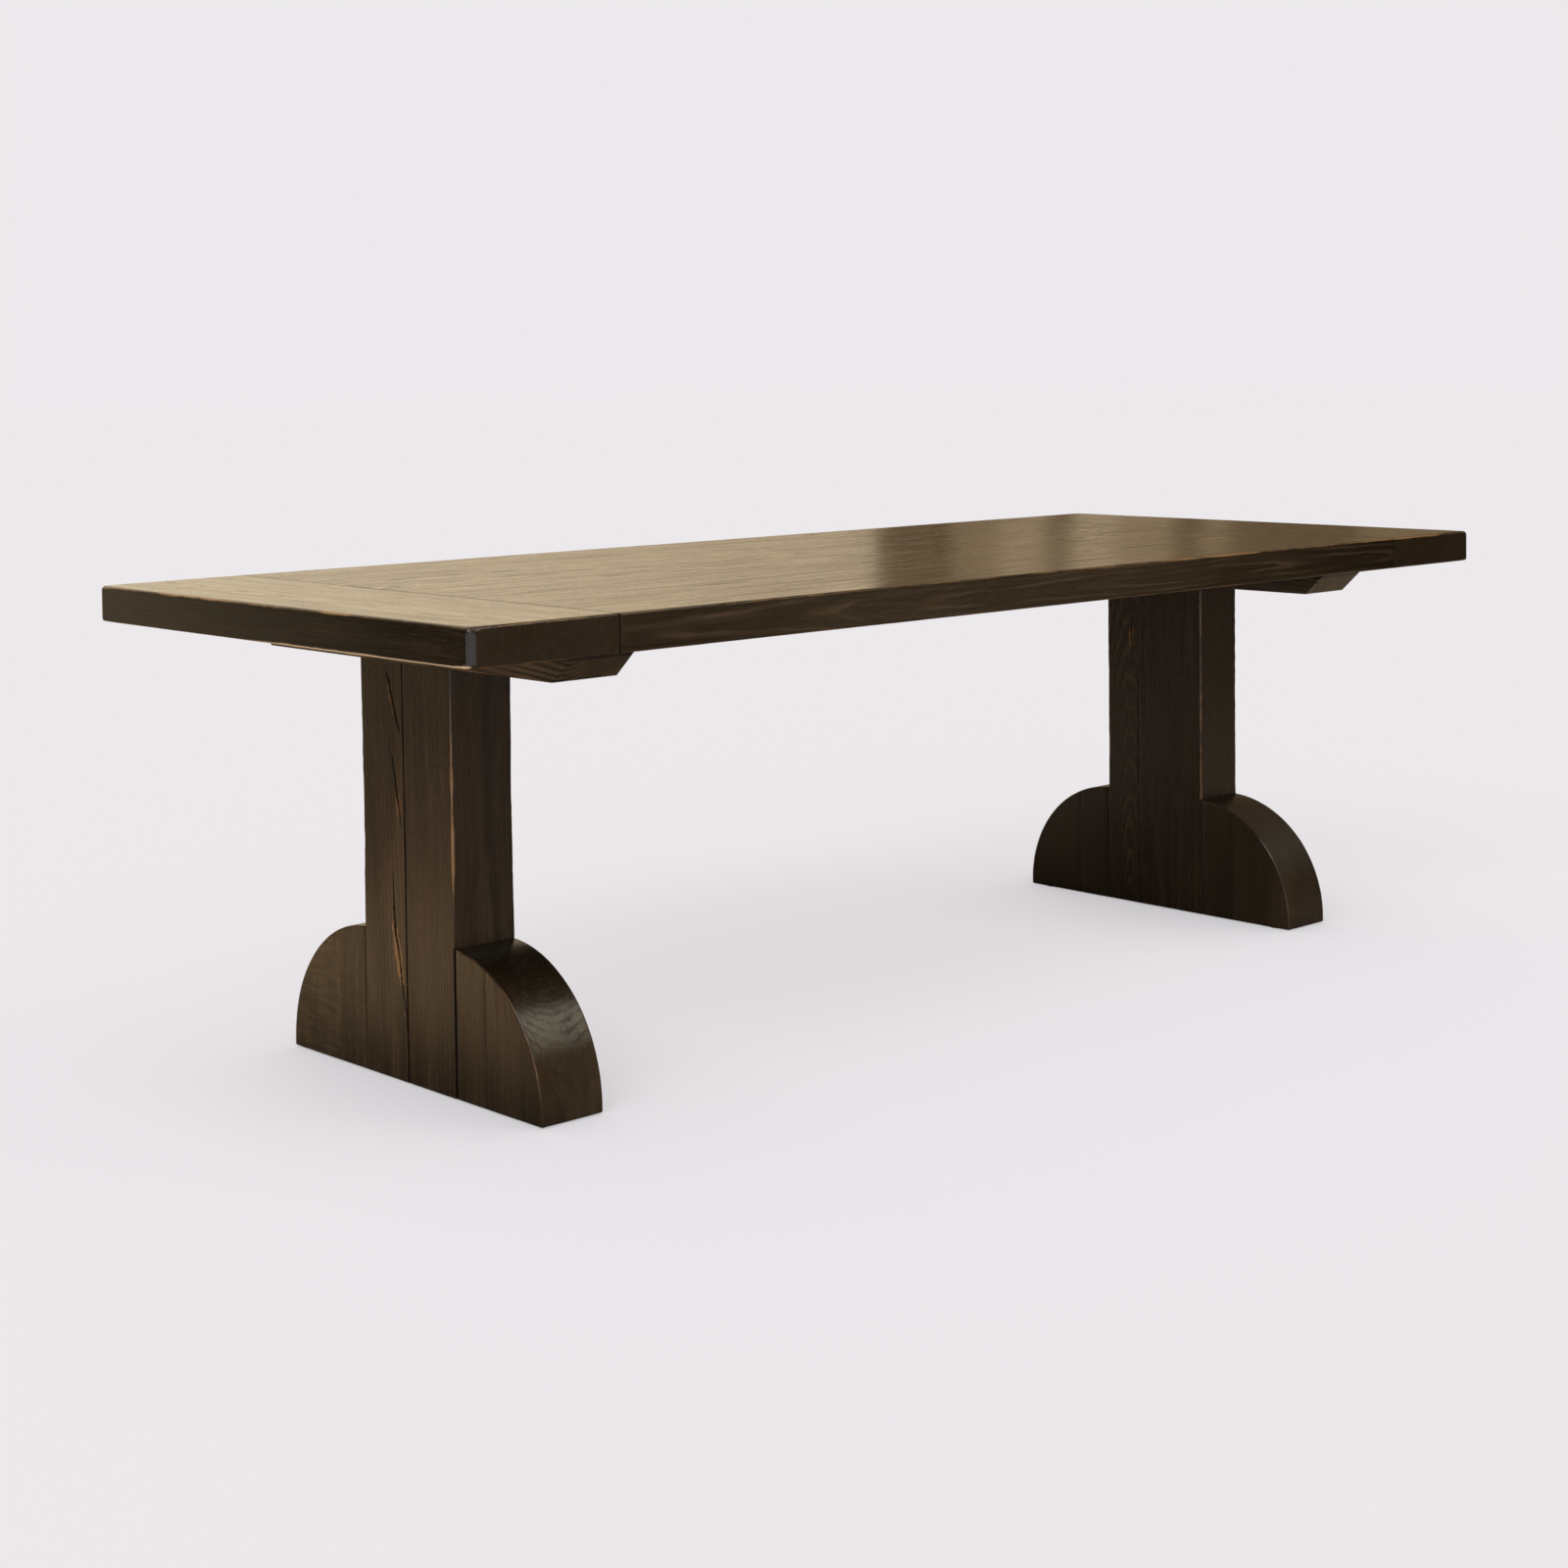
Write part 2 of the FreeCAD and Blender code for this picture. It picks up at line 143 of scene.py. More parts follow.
def lattice(cells, seed):
    """A repeatable random number from 0 to 1 for each whole-number cell."""
    mask = 0xFFFFFFFF
    primes = (73856093, 19349663, 83492791)
    mixed = seed * 2654435
    for axis, prime in enumerate(primes):
        mixed ^= cells[:, axis] * prime
    mixed = ((mixed & mask) ^ ((mixed & mask) >> 13)) * 12741261
    return (((mixed & mask) >> 8) & 0xFFFF) / 0xFFFF


def noise_at(points, size, seed=0):
    """Smooth noise from -1 to 1 at points in metres, with features about that many millimetres across."""
    place = points / (np.asarray(size, float) * MM)
    cell = np.floor(place).astype(np.int64)
    part = place - cell
    part = part * part * (3 - 2 * part)
    total = np.zeros(len(points))
    for corner in np.ndindex(2, 2, 2):
        weight = np.prod(np.where(np.array(corner), part, 1 - part), axis=1)
        total += weight * lattice(cell + np.array(corner), seed)
    return 2 * total - 1


def mixed_noise(points, parts, seed):
    """Noise of several sizes, each with its share."""
    return sum(share * noise_at(points, size, seed + number) for number, (size, share) in enumerate(parts))


def lines(low, high, step, low_round=0.0, high_round=0.0, extra=()):
    """Grid lines from low to high, fine within each rounded end and about a step apart between them."""
    found = {low, high, *extra}
    found.update(low + share * low_round * MM for share in ROUND_STEPS)
    found.update(high - share * high_round * MM for share in ROUND_STEPS)
    last = ROUND_STEPS[-1]
    inner_low, inner_high = low + last * low_round * MM, high - last * high_round * MM
    count = max(1, round((inner_high - inner_low) / (step * MM)))
    found.update(np.linspace(inner_low, inner_high, count + 1)[1:-1])
    kept = sorted(found)
    close = LEAST_APART * MM
    return np.array([value for i, value in enumerate(kept) if i == 0 or value - kept[i - 1] > close])


def block(xs, ys, zs):
    """Points and quads of a block's surface on the given grid lines."""
    surface = np.zeros((len(xs), len(ys), len(zs)), bool)
    for axis in range(3):
        np.moveaxis(surface, axis, 0)[[0, -1]] = True
    index = np.full(surface.shape, -1)
    index[surface] = np.arange(surface.sum())
    i, j, k = np.nonzero(surface)
    points = np.stack([xs[i], ys[j], zs[k]], -1)
    quads = []
    for axis in range(3):
        sheets = np.moveaxis(index, [axis, (axis + 1) % 3, (axis + 2) % 3], [0, 1, 2])
        for end in (0, -1):
            grid = sheets[end]
            four = np.stack([grid[:-1, :-1], grid[1:, :-1], grid[1:, 1:], grid[:-1, 1:]], -1).reshape(-1, 4)
            quads.append(four if end else four[:, ::-1])
    return points, np.concatenate(quads)


def in_scene(name, data):
    made = bpy.data.objects.new(name, data)
    bpy.context.scene.collection.objects.link(made)
    return made


def piece_from(board, node, material):
    """A smooth mesh piece that stands for one CAD node and rides with the table."""
    mesh = bpy.data.meshes.new(f"oak_{node}")
    mesh.from_pydata(board.points, [], board.quads)
    mesh.update()
    mesh.polygons.foreach_set("use_smooth", np.ones(len(mesh.polygons), bool))
    mesh.set_sharp_from_angle(angle=SHARP_ANGLE)
    for mark, values in board.marks.items():
        mesh.attributes.new(mark, "FLOAT", "POINT").data.foreach_set("value", held(values))
    mesh.materials.append(material)
    piece = in_scene(mesh.name, mesh)
    weighted = piece.modifiers.new("even_normals", "WEIGHTED_NORMAL")
    weighted.keep_sharp = True
    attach(piece, ROOT)
    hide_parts(node)
    return piece


class Board:
    """A block of surface points, whose edges are worn round and whose faces are marked."""

    def __init__(self, xs, ys, zs):
        self.points, self.quads = block(xs, ys, zs)
        self.marks = {mark: np.zeros(len(self.points)) for mark in ("wear", "split", "painted_highlight")}

    def mark(self, name, amount):
        self.marks[name] = np.maximum(self.marks[name], amount)

    def ease(self, depth_a, out_a, depth_b, out_b, radius, wear=1.0, cut=0.0, deep=1.0):
        """Rounds the edge between two faces. A depth is how far a point is in from a face, out its normal.

        The crest of the edge is marked as worn, and what sinks under the first face as cut, by their shares.
        A deep edge sinks that much further into the first face than it spreads over it."""
        u, v = radius - depth_a / deep, radius - depth_b
        close = (u > 0) & (v > 0)
        length = np.where(close, np.hypot(u, v), 1)
        keep = np.where(close, np.maximum(u, v) / length, 1)
        self.points += out_a * (deep * u * (keep - 1))[:, None] + out_b * (v * (keep - 1))[:, None]
        crest = np.where(close, np.minimum(u, v) / np.maximum(np.maximum(u, v), 1e-9), 0)
        self.mark("wear", crest * wear)
        sunk = np.where(close, (radius - u * keep) / (CUT_SHARE * np.maximum(radius, 1e-9)), 0)
        self.mark("split", held(sunk) * cut)
        return crest

    def ease_planes(self, axis_a, at_a, side_a, axis_b, at_b, side_b, radius, wear=1.0, cut=0.0, deep=1.0):
        """Rounds the straight edge where two planes meet, each square to an axis."""
        depth_a = (at_a - self.points[:, axis_a]) * side_a
        depth_b = (at_b - self.points[:, axis_b]) * side_b
        self.ease(depth_a, AXES[axis_a] * side_a, depth_b, AXES[axis_b] * side_b, radius, wear, cut, deep)

    def push(self, direction, amount):
        """Moves points along a direction by an amount each."""
        self.points += direction * amount[:, None]


def worn_radius(points, size, rough=0.35, nicks=1.2, seed=0):
    """An arris radius that wanders along an edge, larger where it took knocks."""
    wander = mixed_noise(points, WANDER, seed)
    dented, chipped = (noise_at(points, wide, seed + 2 + number) for number, wide in enumerate(KNOCK_SIZES))
    knock = held(dented - KNOCK_FROM) * held(chipped)
    return size * MM * (1 + rough * wander + nicks * knock)


# Top

def perimeter(points):
    """How far in each point is from the top's rounded outline, and the outline's normal there."""
    radius = CORNER_RADIUS * MM
    half = np.array([cad_box[1].x - radius, cad_box[1].y - radius])
    core = np.clip(points[:, :2], -half, half)
    away = points[:, :2] - core
    length = np.hypot(away[:, 0], away[:, 1])
    normal = np.where(length[:, None] > 1e-9, away / np.maximum(length, 1e-9)[:, None], 0)
    return np.where(length > 1e-9, radius - length, 1), np.hstack([normal, np.zeros((len(points), 1))])


def grain_relief(points, axis, seed):
    """Depth of the hollows that brushing leaves between ridges of grain, which run along an axis."""
    turned = points if axis == 0 else points[:, [1, 0, 2]]
    return BRUSHED_DEPTH * MM * (0.5 + 0.5 * mixed_noise(turned, BRUSHED, seed))


def shape_top(board, seams, grain_axis, seed):
    """Gives a piece of the top its rounded corners, worn arrises, eased seams and brushed face.

    A seam is an axis, a place on it, the side that the other board is on, and the rounding there."""
    half_x, half_y = cad_box[1].x, cad_box[1].y
    start_z = board.points[:, 2].copy()
    for sx, sy in itertools.product((-1, 1), (-1, 1)):
        board.ease_planes(0, sx * half_x, sx, 1, sy * half_y, sy, CORNER_RADIUS * MM, wear=0)
    depth, out = perimeter(board.points)
    knocked = TOP_KNOCK_LEAST + TOP_KNOCK_MORE * held(2 * noise_at(board.points, TOP_KNOCKS, 15))
    to_corner = np.hypot(half_x - np.abs(board.points[:, 0]), half_y - np.abs(board.points[:, 1]))
    blunt = 1 + CORNER_BLUNT * held(BLUNT_END - to_corner / (CORNER_RADIUS * BLUNT_REACH * MM))
    board.ease(depth, out, TOP_HIGH - board.points[:, 2], AXES[2],
               worn_radius(board.points, TOP_ARRIS, seed=11) * blunt, knocked)
    depth, out = perimeter(board.points)
    crest = board.ease(depth, out, board.points[:, 2] - TOP_LOW, -AXES[2],
                       worn_radius(board.points, UNDER_ARRIS, seed=21) * blunt)
    # Painted highlight: a pale line along the lower arris's crest on the left end, fading across the table
    on_left_end = board.points[:, 0] < -half_x + HIGHLIGHT_REACH * MM
    highlighted = held((HIGHLIGHT_TO * MM - board.points[:, 1]) / (HIGHLIGHT_FADE * MM)) * on_left_end
    board.mark("painted_highlight", held(2 * crest) * highlighted)
    above = start_z > TOP_HIGH - HAIR * MM
    for axis, place, side, size in seams:
        near = above & (np.abs(board.points[:, 0] - place) < SEAM_REACH * size * MM) & (axis == 0)
        board.mark("split", np.where(near, SEAM_MARK, 0))
        radius = worn_radius(board.points, size, rough=0.5, nicks=1.0, seed=31)
        board.ease_planes(2, TOP_HIGH, 1, axis, place, side, radius, 0, 1, JOINT_DEEP)
        if axis == 0:
            for sy in (-1, 1):
                board.ease_planes(1, sy * half_y, sy, axis, place, side, radius, 0, 1, JOINT_DEEP)
    dip = (noise_at(board.points, DIP_SIZES, 41) + 1) * DIP_DEPTH * MM
    board.push(-AXES[2], np.where(above, dip + grain_relief(board.points, grain_axis, seed), 0))


def top_levels():
    """Grid lines through the thickness of the top."""
    return lines(TOP_LOW, TOP_HIGH, CROSS_STEP, UNDER_ARRIS * TOP_ROOM, TOP_ARRIS * TOP_ROOM)


def make_planks(materials):
    seam_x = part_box("breadboard_right")[0].x
    along, across = PLANK_STEPS
    for number, node in enumerate(TOP_NODES):
        low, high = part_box(node)
        seams = [(0, -seam_x, -1, BREADBOARD_SEAM), (0, seam_x, 1, BREADBOARD_SEAM)]
        rounds = []
        for place, side in ((low.y, -1), (high.y, 1)):
            inside = abs(place) < cad_box[1].y - MM
            rounds.append(PLANK_SEAM if inside else TOP_ARRIS * TOP_ROOM)
            if inside:
                seams.append((1, place, side, PLANK_SEAM))
        xs = lines(-seam_x, seam_x, along, BREADBOARD_SEAM, BREADBOARD_SEAM)
        board = Board(xs, lines(low.y, high.y, across, *rounds), top_levels())
        shape_top(board, seams, 0, 100 + 10 * number)
        piece_from(board, node, materials[node])


def make_breadboards(materials):
    across, along = BREADBOARD_STEPS
    arris = TOP_ARRIS * TOP_ROOM * MM
    in_x, in_y = ([half - share * arris for share in ROUND_STEPS] for half in cad_box[1].xy)
    for side, sign in zip(SIDES, (-1, 1)):
        node = f"breadboard_{side}"
        low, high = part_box(node)
        rounds = (CORNER_RADIUS, BREADBOARD_SEAM)[::-sign]
        xs = lines(low.x, high.x, across, *rounds, extra=[sign * x for x in in_x])
        ys = lines(low.y, high.y, along, CORNER_RADIUS, CORNER_RADIUS, extra=[*in_y, *(-y for y in in_y)])
        board = Board(xs, ys, top_levels())
        inner = low.x if sign > 0 else high.x
        shape_top(board, [(0, inner, -sign, BREADBOARD_SEAM)], 1, 180 + sign)
        piece_from(board, node, materials[node])


# Pedestals

class Pedestal:
    """Places of one pedestal's faces and joints, read from its nodes."""

    def __init__(self, side):
        self.side = side
        self.joint_dark = JOINT_DARK[side]
        low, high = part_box(f"post_far_{side}")
        self.x_low, self.x_high = low.x, high.x
        self.bottom, self.post_high = low.z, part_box(f"batten_{side}")[0].z
        self.post_edge = high.y
        self.seam = low.y
        self.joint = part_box(f"ear_inner_far_{side}")[1].y
        self.foot_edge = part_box(f"ear_outer_far_{side}")[1].y
        self.ear_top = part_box(f"ear_inner_far_{side}")[1].z
        self.arc_low = self.bottom + EAR_UPRIGHT * MM
        rise, run = self.ear_top - self.arc_low, self.foot_edge - self.post_edge
        tuck = (rise * rise - run * run) / (2 * run) if rise > run else 0
        self.arc_radius = run + tuck
        self.arc_y = self.foot_edge - self.arc_radius


def ease_wide_faces(board, ped, edge_axis, place, side, radius, wear=1.0, cut=0.0, deep=1.0):
    """Rounds both edges that a face square to an axis makes with the pedestal's wide faces."""
    for x, out in ((ped.x_low, -1), (ped.x_high, 1)):
        board.ease_planes(0, x, out, edge_axis, place, side, radius, wear, cut, deep)


# Drying cracks in the far posts' outer face: width, depth, and heights with places across, in millimetres
CRACKS = {
    "post_far_left": (
        (6, 14, ((640, 50), (632, 46), (622, 42), (600, 35), (575, 27), (552, 17), (540, 12))),
        (6, 14, ((528, 46), (520, 44), (505, 37), (485, 32), (455, 26), (420, 19), (385, 12))),
        (6.5, 15, ((330, 40), (280, 38), (236, 36), (215, 31), (180, 23), (140, 16), (108, 10), (80, 8))),
    ),
    "post_far_right": ((3.5, 7, ((590, 56), (570, 55), (548, 56), (528, 54), (505, 55))),),
}
CRACK_STEP, CRACK_ROOM = 0.8, 3
CRACK_WANDER, CRACK_SWAY = 14, 0.7
CRACK_RAGGED, CRACK_WIDTH, CRACK_UNEVEN = 22, 0.8, 0.35
CRACK_TAPER, CRACK_HOLLOW = 0.6, 0.45

# Pale lips beside the cracks: how wide on each side, in millimetres, how worn, and below what height more so
LIP_WIDTHS = (8, 13)
LIP_WEAR, LOW_LIP_WEAR = 0.85, 0.5
LOW_LIPS = 240


def split(board, ped, cracks):
    """Cuts drying cracks into the outer wide face, with a paler lip on each side."""
    y, z = board.points[:, 1], board.points[:, 2]
    on_face = board.points[:, 0] < ped.x_low + MM
    heights_only = np.stack([z, z, z], -1)
    for width, deepest, path in cracks:
        heights, places = (np.array(values) * MM for values in zip(*reversed(path)))
        middle = np.interp(z, heights, places) + noise_at(heights_only, CRACK_WANDER, 81) * CRACK_SWAY * MM
        along = held((z - heights[0]) / (heights[-1] - heights[0]))
        ragged = CRACK_WIDTH + CRACK_UNEVEN * noise_at(heights_only, CRACK_RAGGED, 82)
        taper = held(np.sin(along * math.pi)) ** CRACK_TAPER * ragged
        half = 0.5 * width * MM * taper
        aside = np.abs(y - middle)
        inside = held(1 - aside / np.maximum(half, HAIR * MM))
        depth = deepest * MM * taper * inside ** CRACK_HOLLOW
        board.push(AXES[0], np.where(on_face, depth, 0))
        board.mark("split", np.where(on_face & (inside > 0), 1, 0))
        reach = np.where(y > middle, LIP_WIDTHS[1], LIP_WIDTHS[0]) * MM
        lip = held(1 - (aside - half) / reach) * taper
        rubbed = LIP_WEAR + LOW_LIP_WEAR * (z < LOW_LIPS * MM)
        board.mark("wear", np.where(on_face & (inside <= 0), rubbed * lip, 0))


def joint_radius(board, size, seed):
    """The rounding along a joint between upright boards."""
    return worn_radius(board.points, size, rough=0.4, nicks=1.0, seed=seed)


def make_posts(ped, materials):
    height, reach = (value * MM for value in RUBBED[ped.side])
    for end, y0, y1, outer in (("near", -ped.post_edge, ped.seam, -1), ("far", ped.seam, ped.post_edge, 1)):
        node = f"post_{end}_{ped.side}"
        arris = PEDESTAL_ARRIS * PEDESTAL_ROOM
        cracks = CRACKS.get(node, ())
        across = [place for _, _, path in cracks for _, place in path]
        fine = ()
        if across:
            fine = np.arange(min(across) - CRACK_ROOM, max(across) + CRACK_ROOM, CRACK_STEP) * MM
        rounds = (arris, POST_JOINT)[::-outer]
        xs = lines(ped.x_low, ped.x_high, CROSS_STEP, arris, arris)
        ys = lines(y0, y1, POST_STEP, *rounds, extra=fine)
        zs = lines(ped.bottom, ped.post_high, POST_STEP, arris, POST_JOINT,
                   extra=[ped.ear_top, ped.ear_top + 0.5 * POST_STEP * MM])
        board = Board(xs, ys, zs)
        clear = held((board.points[:, 2] - ped.ear_top) / (POST_STEP * MM))
        worn = worn_radius(board.points, PEDESTAL_ARRIS, rough=0.5, nicks=1.3, seed=51)
        joint = joint_radius(board, POST_JOINT, 61)
        split(board, ped, cracks)
        knocked = held(RUBBED_END - np.abs(board.points[:, 2] - height) / reach)
        worn = worn * (POST_ROUND + POST_ROUND_MORE * knocked)
        deep = 1 + (JOINT_DEEP - 1) * (1 - clear)
        edge, inner_edge = (y1, y0) if outer > 0 else (y0, y1)
        dark = (1 - clear) * (FAR_JOINT_DARK if outer > 0 else 1) * ped.joint_dark
        ease_wide_faces(board, ped, 1, edge, outer, joint + (worn - joint) * clear,
                        clear * (POST_WEAR + POST_WEAR_MORE * knocked), dark, deep)
        ease_wide_faces(board, ped, 1, inner_edge, -outer, joint, 0, ped.joint_dark, JOINT_DEEP)
        ease_wide_faces(board, ped, 2, ped.bottom, -1, joint, FOOT_WEAR)
        piece_from(board, node, materials[node])


def bend_to_arc(board, ped):
    """Lowers a block's points so that its top follows the ear's quarter round, down to its upright foot."""
    across = held((board.points[:, 1] - ped.arc_y) / ped.arc_radius)
    height = ped.arc_low + ped.arc_radius * np.sqrt(1 - across ** 2) - ped.bottom
    share = (board.points[:, 2] - ped.bottom) / (ped.ear_top - ped.bottom)
    board.points[:, 2] = ped.bottom + share * height


def arc_depth(board, ped):
    """How far in each point is from the ear's rounded outline, and the outline's normal there."""
    y, z = board.points[:, 1] - ped.arc_y, board.points[:, 2] - ped.arc_low
    on_arc = z > 0
    length = np.where(on_arc, np.hypot(y, z), y)
    shown = np.maximum(length, 1e-6)
    out = np.stack([np.zeros(len(y)), y / shown, np.where(on_arc, z, 0) / shown], -1)
    return ped.arc_radius - length, out


def make_ears(ped, materials):
    """Ear boards are made as far ones. Near ones are their mirror images, with grain of their own."""
    top_angle = math.acos((ped.post_edge - ped.arc_y) / ped.arc_radius)
    joint_angle = math.acos((ped.joint - ped.arc_y) / ped.arc_radius)
    parts = (("inner", top_angle, joint_angle), ("outer", joint_angle, 0))
    for (end, sign), (part, a0, a1) in itertools.product((("far", 1), ("near", -1)), parts):
        node = f"ear_{part}_{end}_{ped.side}"
        count = round((a0 - a1) / ARC_STEP)
        ys = ped.arc_y + ped.arc_radius * np.cos(np.linspace(a0, a1, count + 1))
        arris = EAR_ARRIS * PEDESTAL_ROOM
        xs = lines(ped.x_low, ped.x_high, EAR_STEPS[0], arris, arris)
        zs = lines(ped.bottom, ped.ear_top, EAR_STEPS[1], arris, arris)
        board = Board(xs, ys, zs)
        bend_to_arc(board, ped)
        worn = worn_radius(board.points, EAR_ARRIS, rough=0.3, nicks=0.8, seed=71)
        inner_joint, outer_joint = (joint_radius(board, size, 61) for size in (POST_JOINT, EAR_JOINT))
        depth, out = arc_depth(board, ped)
        for x, side in ((ped.x_low, -1), (ped.x_high, 1)):
            board.ease((x - board.points[:, 0]) * side, AXES[0] * side, depth, out, worn, EAR_WEAR)
        ease_wide_faces(board, ped, 2, ped.bottom, -1, worn, FOOT_WEAR)
        if part == "outer":
            board.ease_planes(1, ped.foot_edge, 1, 2, ped.bottom, -1, worn, FOOT_WEAR)
        if part == "inner":
            ease_wide_faces(board, ped, 1, ped.post_edge, -1, inner_joint, 0,
                            (FAR_JOINT_DARK if sign > 0 else 1) * ped.joint_dark, JOINT_DEEP)
        rubbed, dark = OUTER_JOINTS[end]
        ease_wide_faces(board, ped, 1, ped.joint, 1 if part == "inner" else -1, outer_joint,
                        rubbed * ped.joint_dark, dark * ped.joint_dark)
        if sign > 0:
            board.quads = board.quads[:, ::-1]
        board.points[:, 1] *= sign
        piece_from(board, node, materials[node])


# Materials

def new_material(name):
    material = bpy.data.materials.new(name)
    material.use_nodes = True
    return material, material.node_tree


def add(tree, kind, inputs=None, **settings):
    """A shader node with its settings and inputs. An input that is a socket is linked, else set."""
    made = tree.nodes.new(kind)
    for name, value in settings.items():
        setattr(made, name, value)
    for key, value in (inputs or {}).items():
        if isinstance(value, bpy.types.NodeSocket):
            tree.links.new(value, made.inputs[key])
        else:
            made.inputs[key].default_value = value
    return made


def output(tree, kind, name):
    """One output of a node that takes nothing in."""
    return tree.nodes.new(f"ShaderNode{kind}").outputs[name]


def axes(tree, vector):
    return add(tree, "ShaderNodeSeparateXYZ", {0: vector}).outputs


def math_node(tree, operation, *values, clamp=False):
    made = add(tree, "ShaderNodeMath", dict(enumerate(values)), operation=operation, use_clamp=clamp)
    return made.outputs[0]


def times(tree, *values, clamp=False):
    return math_node(tree, "MULTIPLY", *values, clamp=clamp)


def plus(tree, *values):
    return math_node(tree, "ADD", *values)


def times_plus(tree, *values):
    """The first value times the second, plus the third."""
    return math_node(tree, "MULTIPLY_ADD", *values)


def vector_node(tree, operation, *values):
    made = add(tree, "ShaderNodeVectorMath", dict(enumerate(values)), operation=operation)
    return made.outputs["Value" if operation in ("DOT_PRODUCT", "LENGTH", "DISTANCE") else "Vector"]


def scaled(tree, vector, factors):
    return vector_node(tree, "MULTIPLY", vector, factors)


def brighter(tree, colour, share):
    """A colour times a number."""
    return add(tree, "ShaderNodeVectorMath", {0: colour, 3: share}, operation="SCALE").outputs[0]


def noise_node(tree, vector, factors, detail=2.0, rough=0.5):
    """Noise stretched by a scale for each axis, from 0 to 1."""
    return add(tree, "ShaderNodeTexNoise", {"Vector": scaled(tree, vector, factors), "Scale": 1.0,
                                            "Detail": float(detail), "Roughness": rough}).outputs[0]


def ramp(tree, value, low, high, out_low=0.0, out_high=1.0, smooth=True):
    """A value carried from one range to another, held at the ends."""
    return add(tree, "ShaderNodeMapRange", {0: value, 1: low, 2: high, 3: out_low, 4: out_high},
               interpolation_type="SMOOTHSTEP" if smooth else "LINEAR").outputs[0]


def mix_colour(tree, share, a, b, blend="MIX"):
    made = add(tree, "ShaderNodeMix", {0: share, 6: a, 7: b}, data_type="RGBA", blend_type=blend)
    return made.outputs[2]


# Noise in the oak: features in a metre along and across the grain, then detail and roughness. Lines and rings
# sway, and rings tremble, darken fast, pale slowly and grow faint in places
FIGURE = {"Cloud": ((3.5, 12, 12), 4, 0.55), "Streak": ((2.6, 80, 80), 4, 0.6),
          "Fibre": ((7, 300, 300), 3, 0.6), "Pore": ((45, 900, 900), 1, 0.5)}
SWAY, SWAY_DETAIL, SWAY_OF_LINES, SWAY_OF_RINGS = (1.5, 5, 5), 3.0, 0.05, 0.024
TREMBLE, TREMBLE_DEPTH = (14, 90, 90), 0.004
FAINT, FAINT_RAMP = (5, 28, 28), (0.35, 0.6, 0.25, 1.0)
RING_DARKENS, RING_PALES = (0.0, 0.16), (0.2, 0.62)
PORES = (0.6, 0.7)

# Noise of waves, rusty patches and rubbed patches
CURL, CURL_DETAIL, CURL_REACH = (150, 20, 20), 3, 0.1
RUSTY, RUSTY_DETAIL, RUSTY_ROUGH, RUSTY_FROM, RUSTY_TO = (4, 9, 9), 3, 0.55, 0.5, 0.7
PATCHY, PATCHY_DETAIL, PATCHY_ROUGH, PATCHY_SHARP = (11, 11, 11), 5, 0.65, 3.0


# What the grain takes as numbers: the pith's line at X 0, its lean along X, and the ring spacing
GRAIN_NUMBERS = ("Pith Y", "Pith Z", "Lean Y", "Lean Z", "Ring")


def grain_group():
    """Oak figure in a board's own axes, X along the grain. All outputs run from 0 to 1."""
    tree = bpy.data.node_groups.new("oak_grain", "ShaderNodeTree")
    for name in ("At", "Draw", *GRAIN_NUMBERS):
        kind = "Float" if name in GRAIN_NUMBERS else "Vector"
        tree.interface.new_socket(name, in_out="INPUT", socket_type=f"NodeSocket{kind}")
    outputs = ("Rings", *FIGURE)
    for name in outputs:
        tree.interface.new_socket(name, in_out="OUTPUT", socket_type="NodeSocketFloat")
    source = tree.nodes.new("NodeGroupInput").outputs
    at = vector_node(tree, "ADD", source["At"], source["Draw"])
    sway = add(tree, "ShaderNodeTexNoise",
               {"Vector": scaled(tree, at, SWAY), "Scale": 1.0, "Detail": SWAY_DETAIL}).outputs["Color"]
    sway = vector_node(tree, "SUBTRACT", sway, (0.5, 0.5, 0.5))
    swayed = vector_node(tree, "MULTIPLY_ADD", sway, (0, SWAY_OF_LINES, SWAY_OF_LINES), at)
    bent = vector_node(tree, "MULTIPLY_ADD", sway, (0, SWAY_OF_RINGS, SWAY_OF_RINGS), source["At"])
    parts = axes(tree, bent)
    apart = []
    for axis, name in ((1, "Y"), (2, "Z")):
        line = times_plus(tree, parts[0], source[f"Lean {name}"], source[f"Pith {name}"])
        away = math_node(tree, "SUBTRACT", parts[axis], line)
        apart.append(times(tree, away, away))
    radius = math_node(tree, "SQRT", plus(tree, *apart))
    tremble = times(tree, noise_node(tree, at, TREMBLE, 2), TREMBLE_DEPTH)
    count = math_node(tree, "DIVIDE", plus(tree, radius, tremble), source["Ring"])
    part = math_node(tree, "FRACT", count)
    rings = times(tree, ramp(tree, part, *RING_DARKENS), ramp(tree, part, *RING_PALES, 1.0, 0.0))
    faint = ramp(tree, noise_node(tree, at, FAINT, 2), *FAINT_RAMP)
    made = {name: noise_node(tree, swayed, *noise) for name, noise in FIGURE.items() if name != "Cloud"}
    made["Cloud"] = noise_node(tree, at, *FIGURE["Cloud"])
    made["Rings"] = times(tree, rings, faint)
    sink = tree.nodes.new("NodeGroupOutput").inputs
    for name in outputs:
        tree.links.new(made[name], sink[name])
    return tree


# The turn that brings each axis of the table onto a board's own X
ALONG = {"x": (0, 0, 0), "y": (0, 0, -math.pi / 2), "z": (0, math.pi / 2, 0)}
DRAWS_APART = (2.7, 0.4)
FIRST_DRAW = 3

# Tones of the stained wood, of what shows where it is worn, of a painted pale highlight, and of cuts
DARK = (0.026, 0.0162, 0.0085)
MID = (0.053, 0.0335, 0.018)
LIGHT = (0.092, 0.0585, 0.0325)
WORN = (0.30, 0.165, 0.068)
FLECK = (0.24, 0.155, 0.085)
RUST = (1.0, 0.78, 0.55)
HIGHLIGHT_PALE = (0.82, 0.66, 0.48)
CUT = (0.003, 0.002, 0.0015)

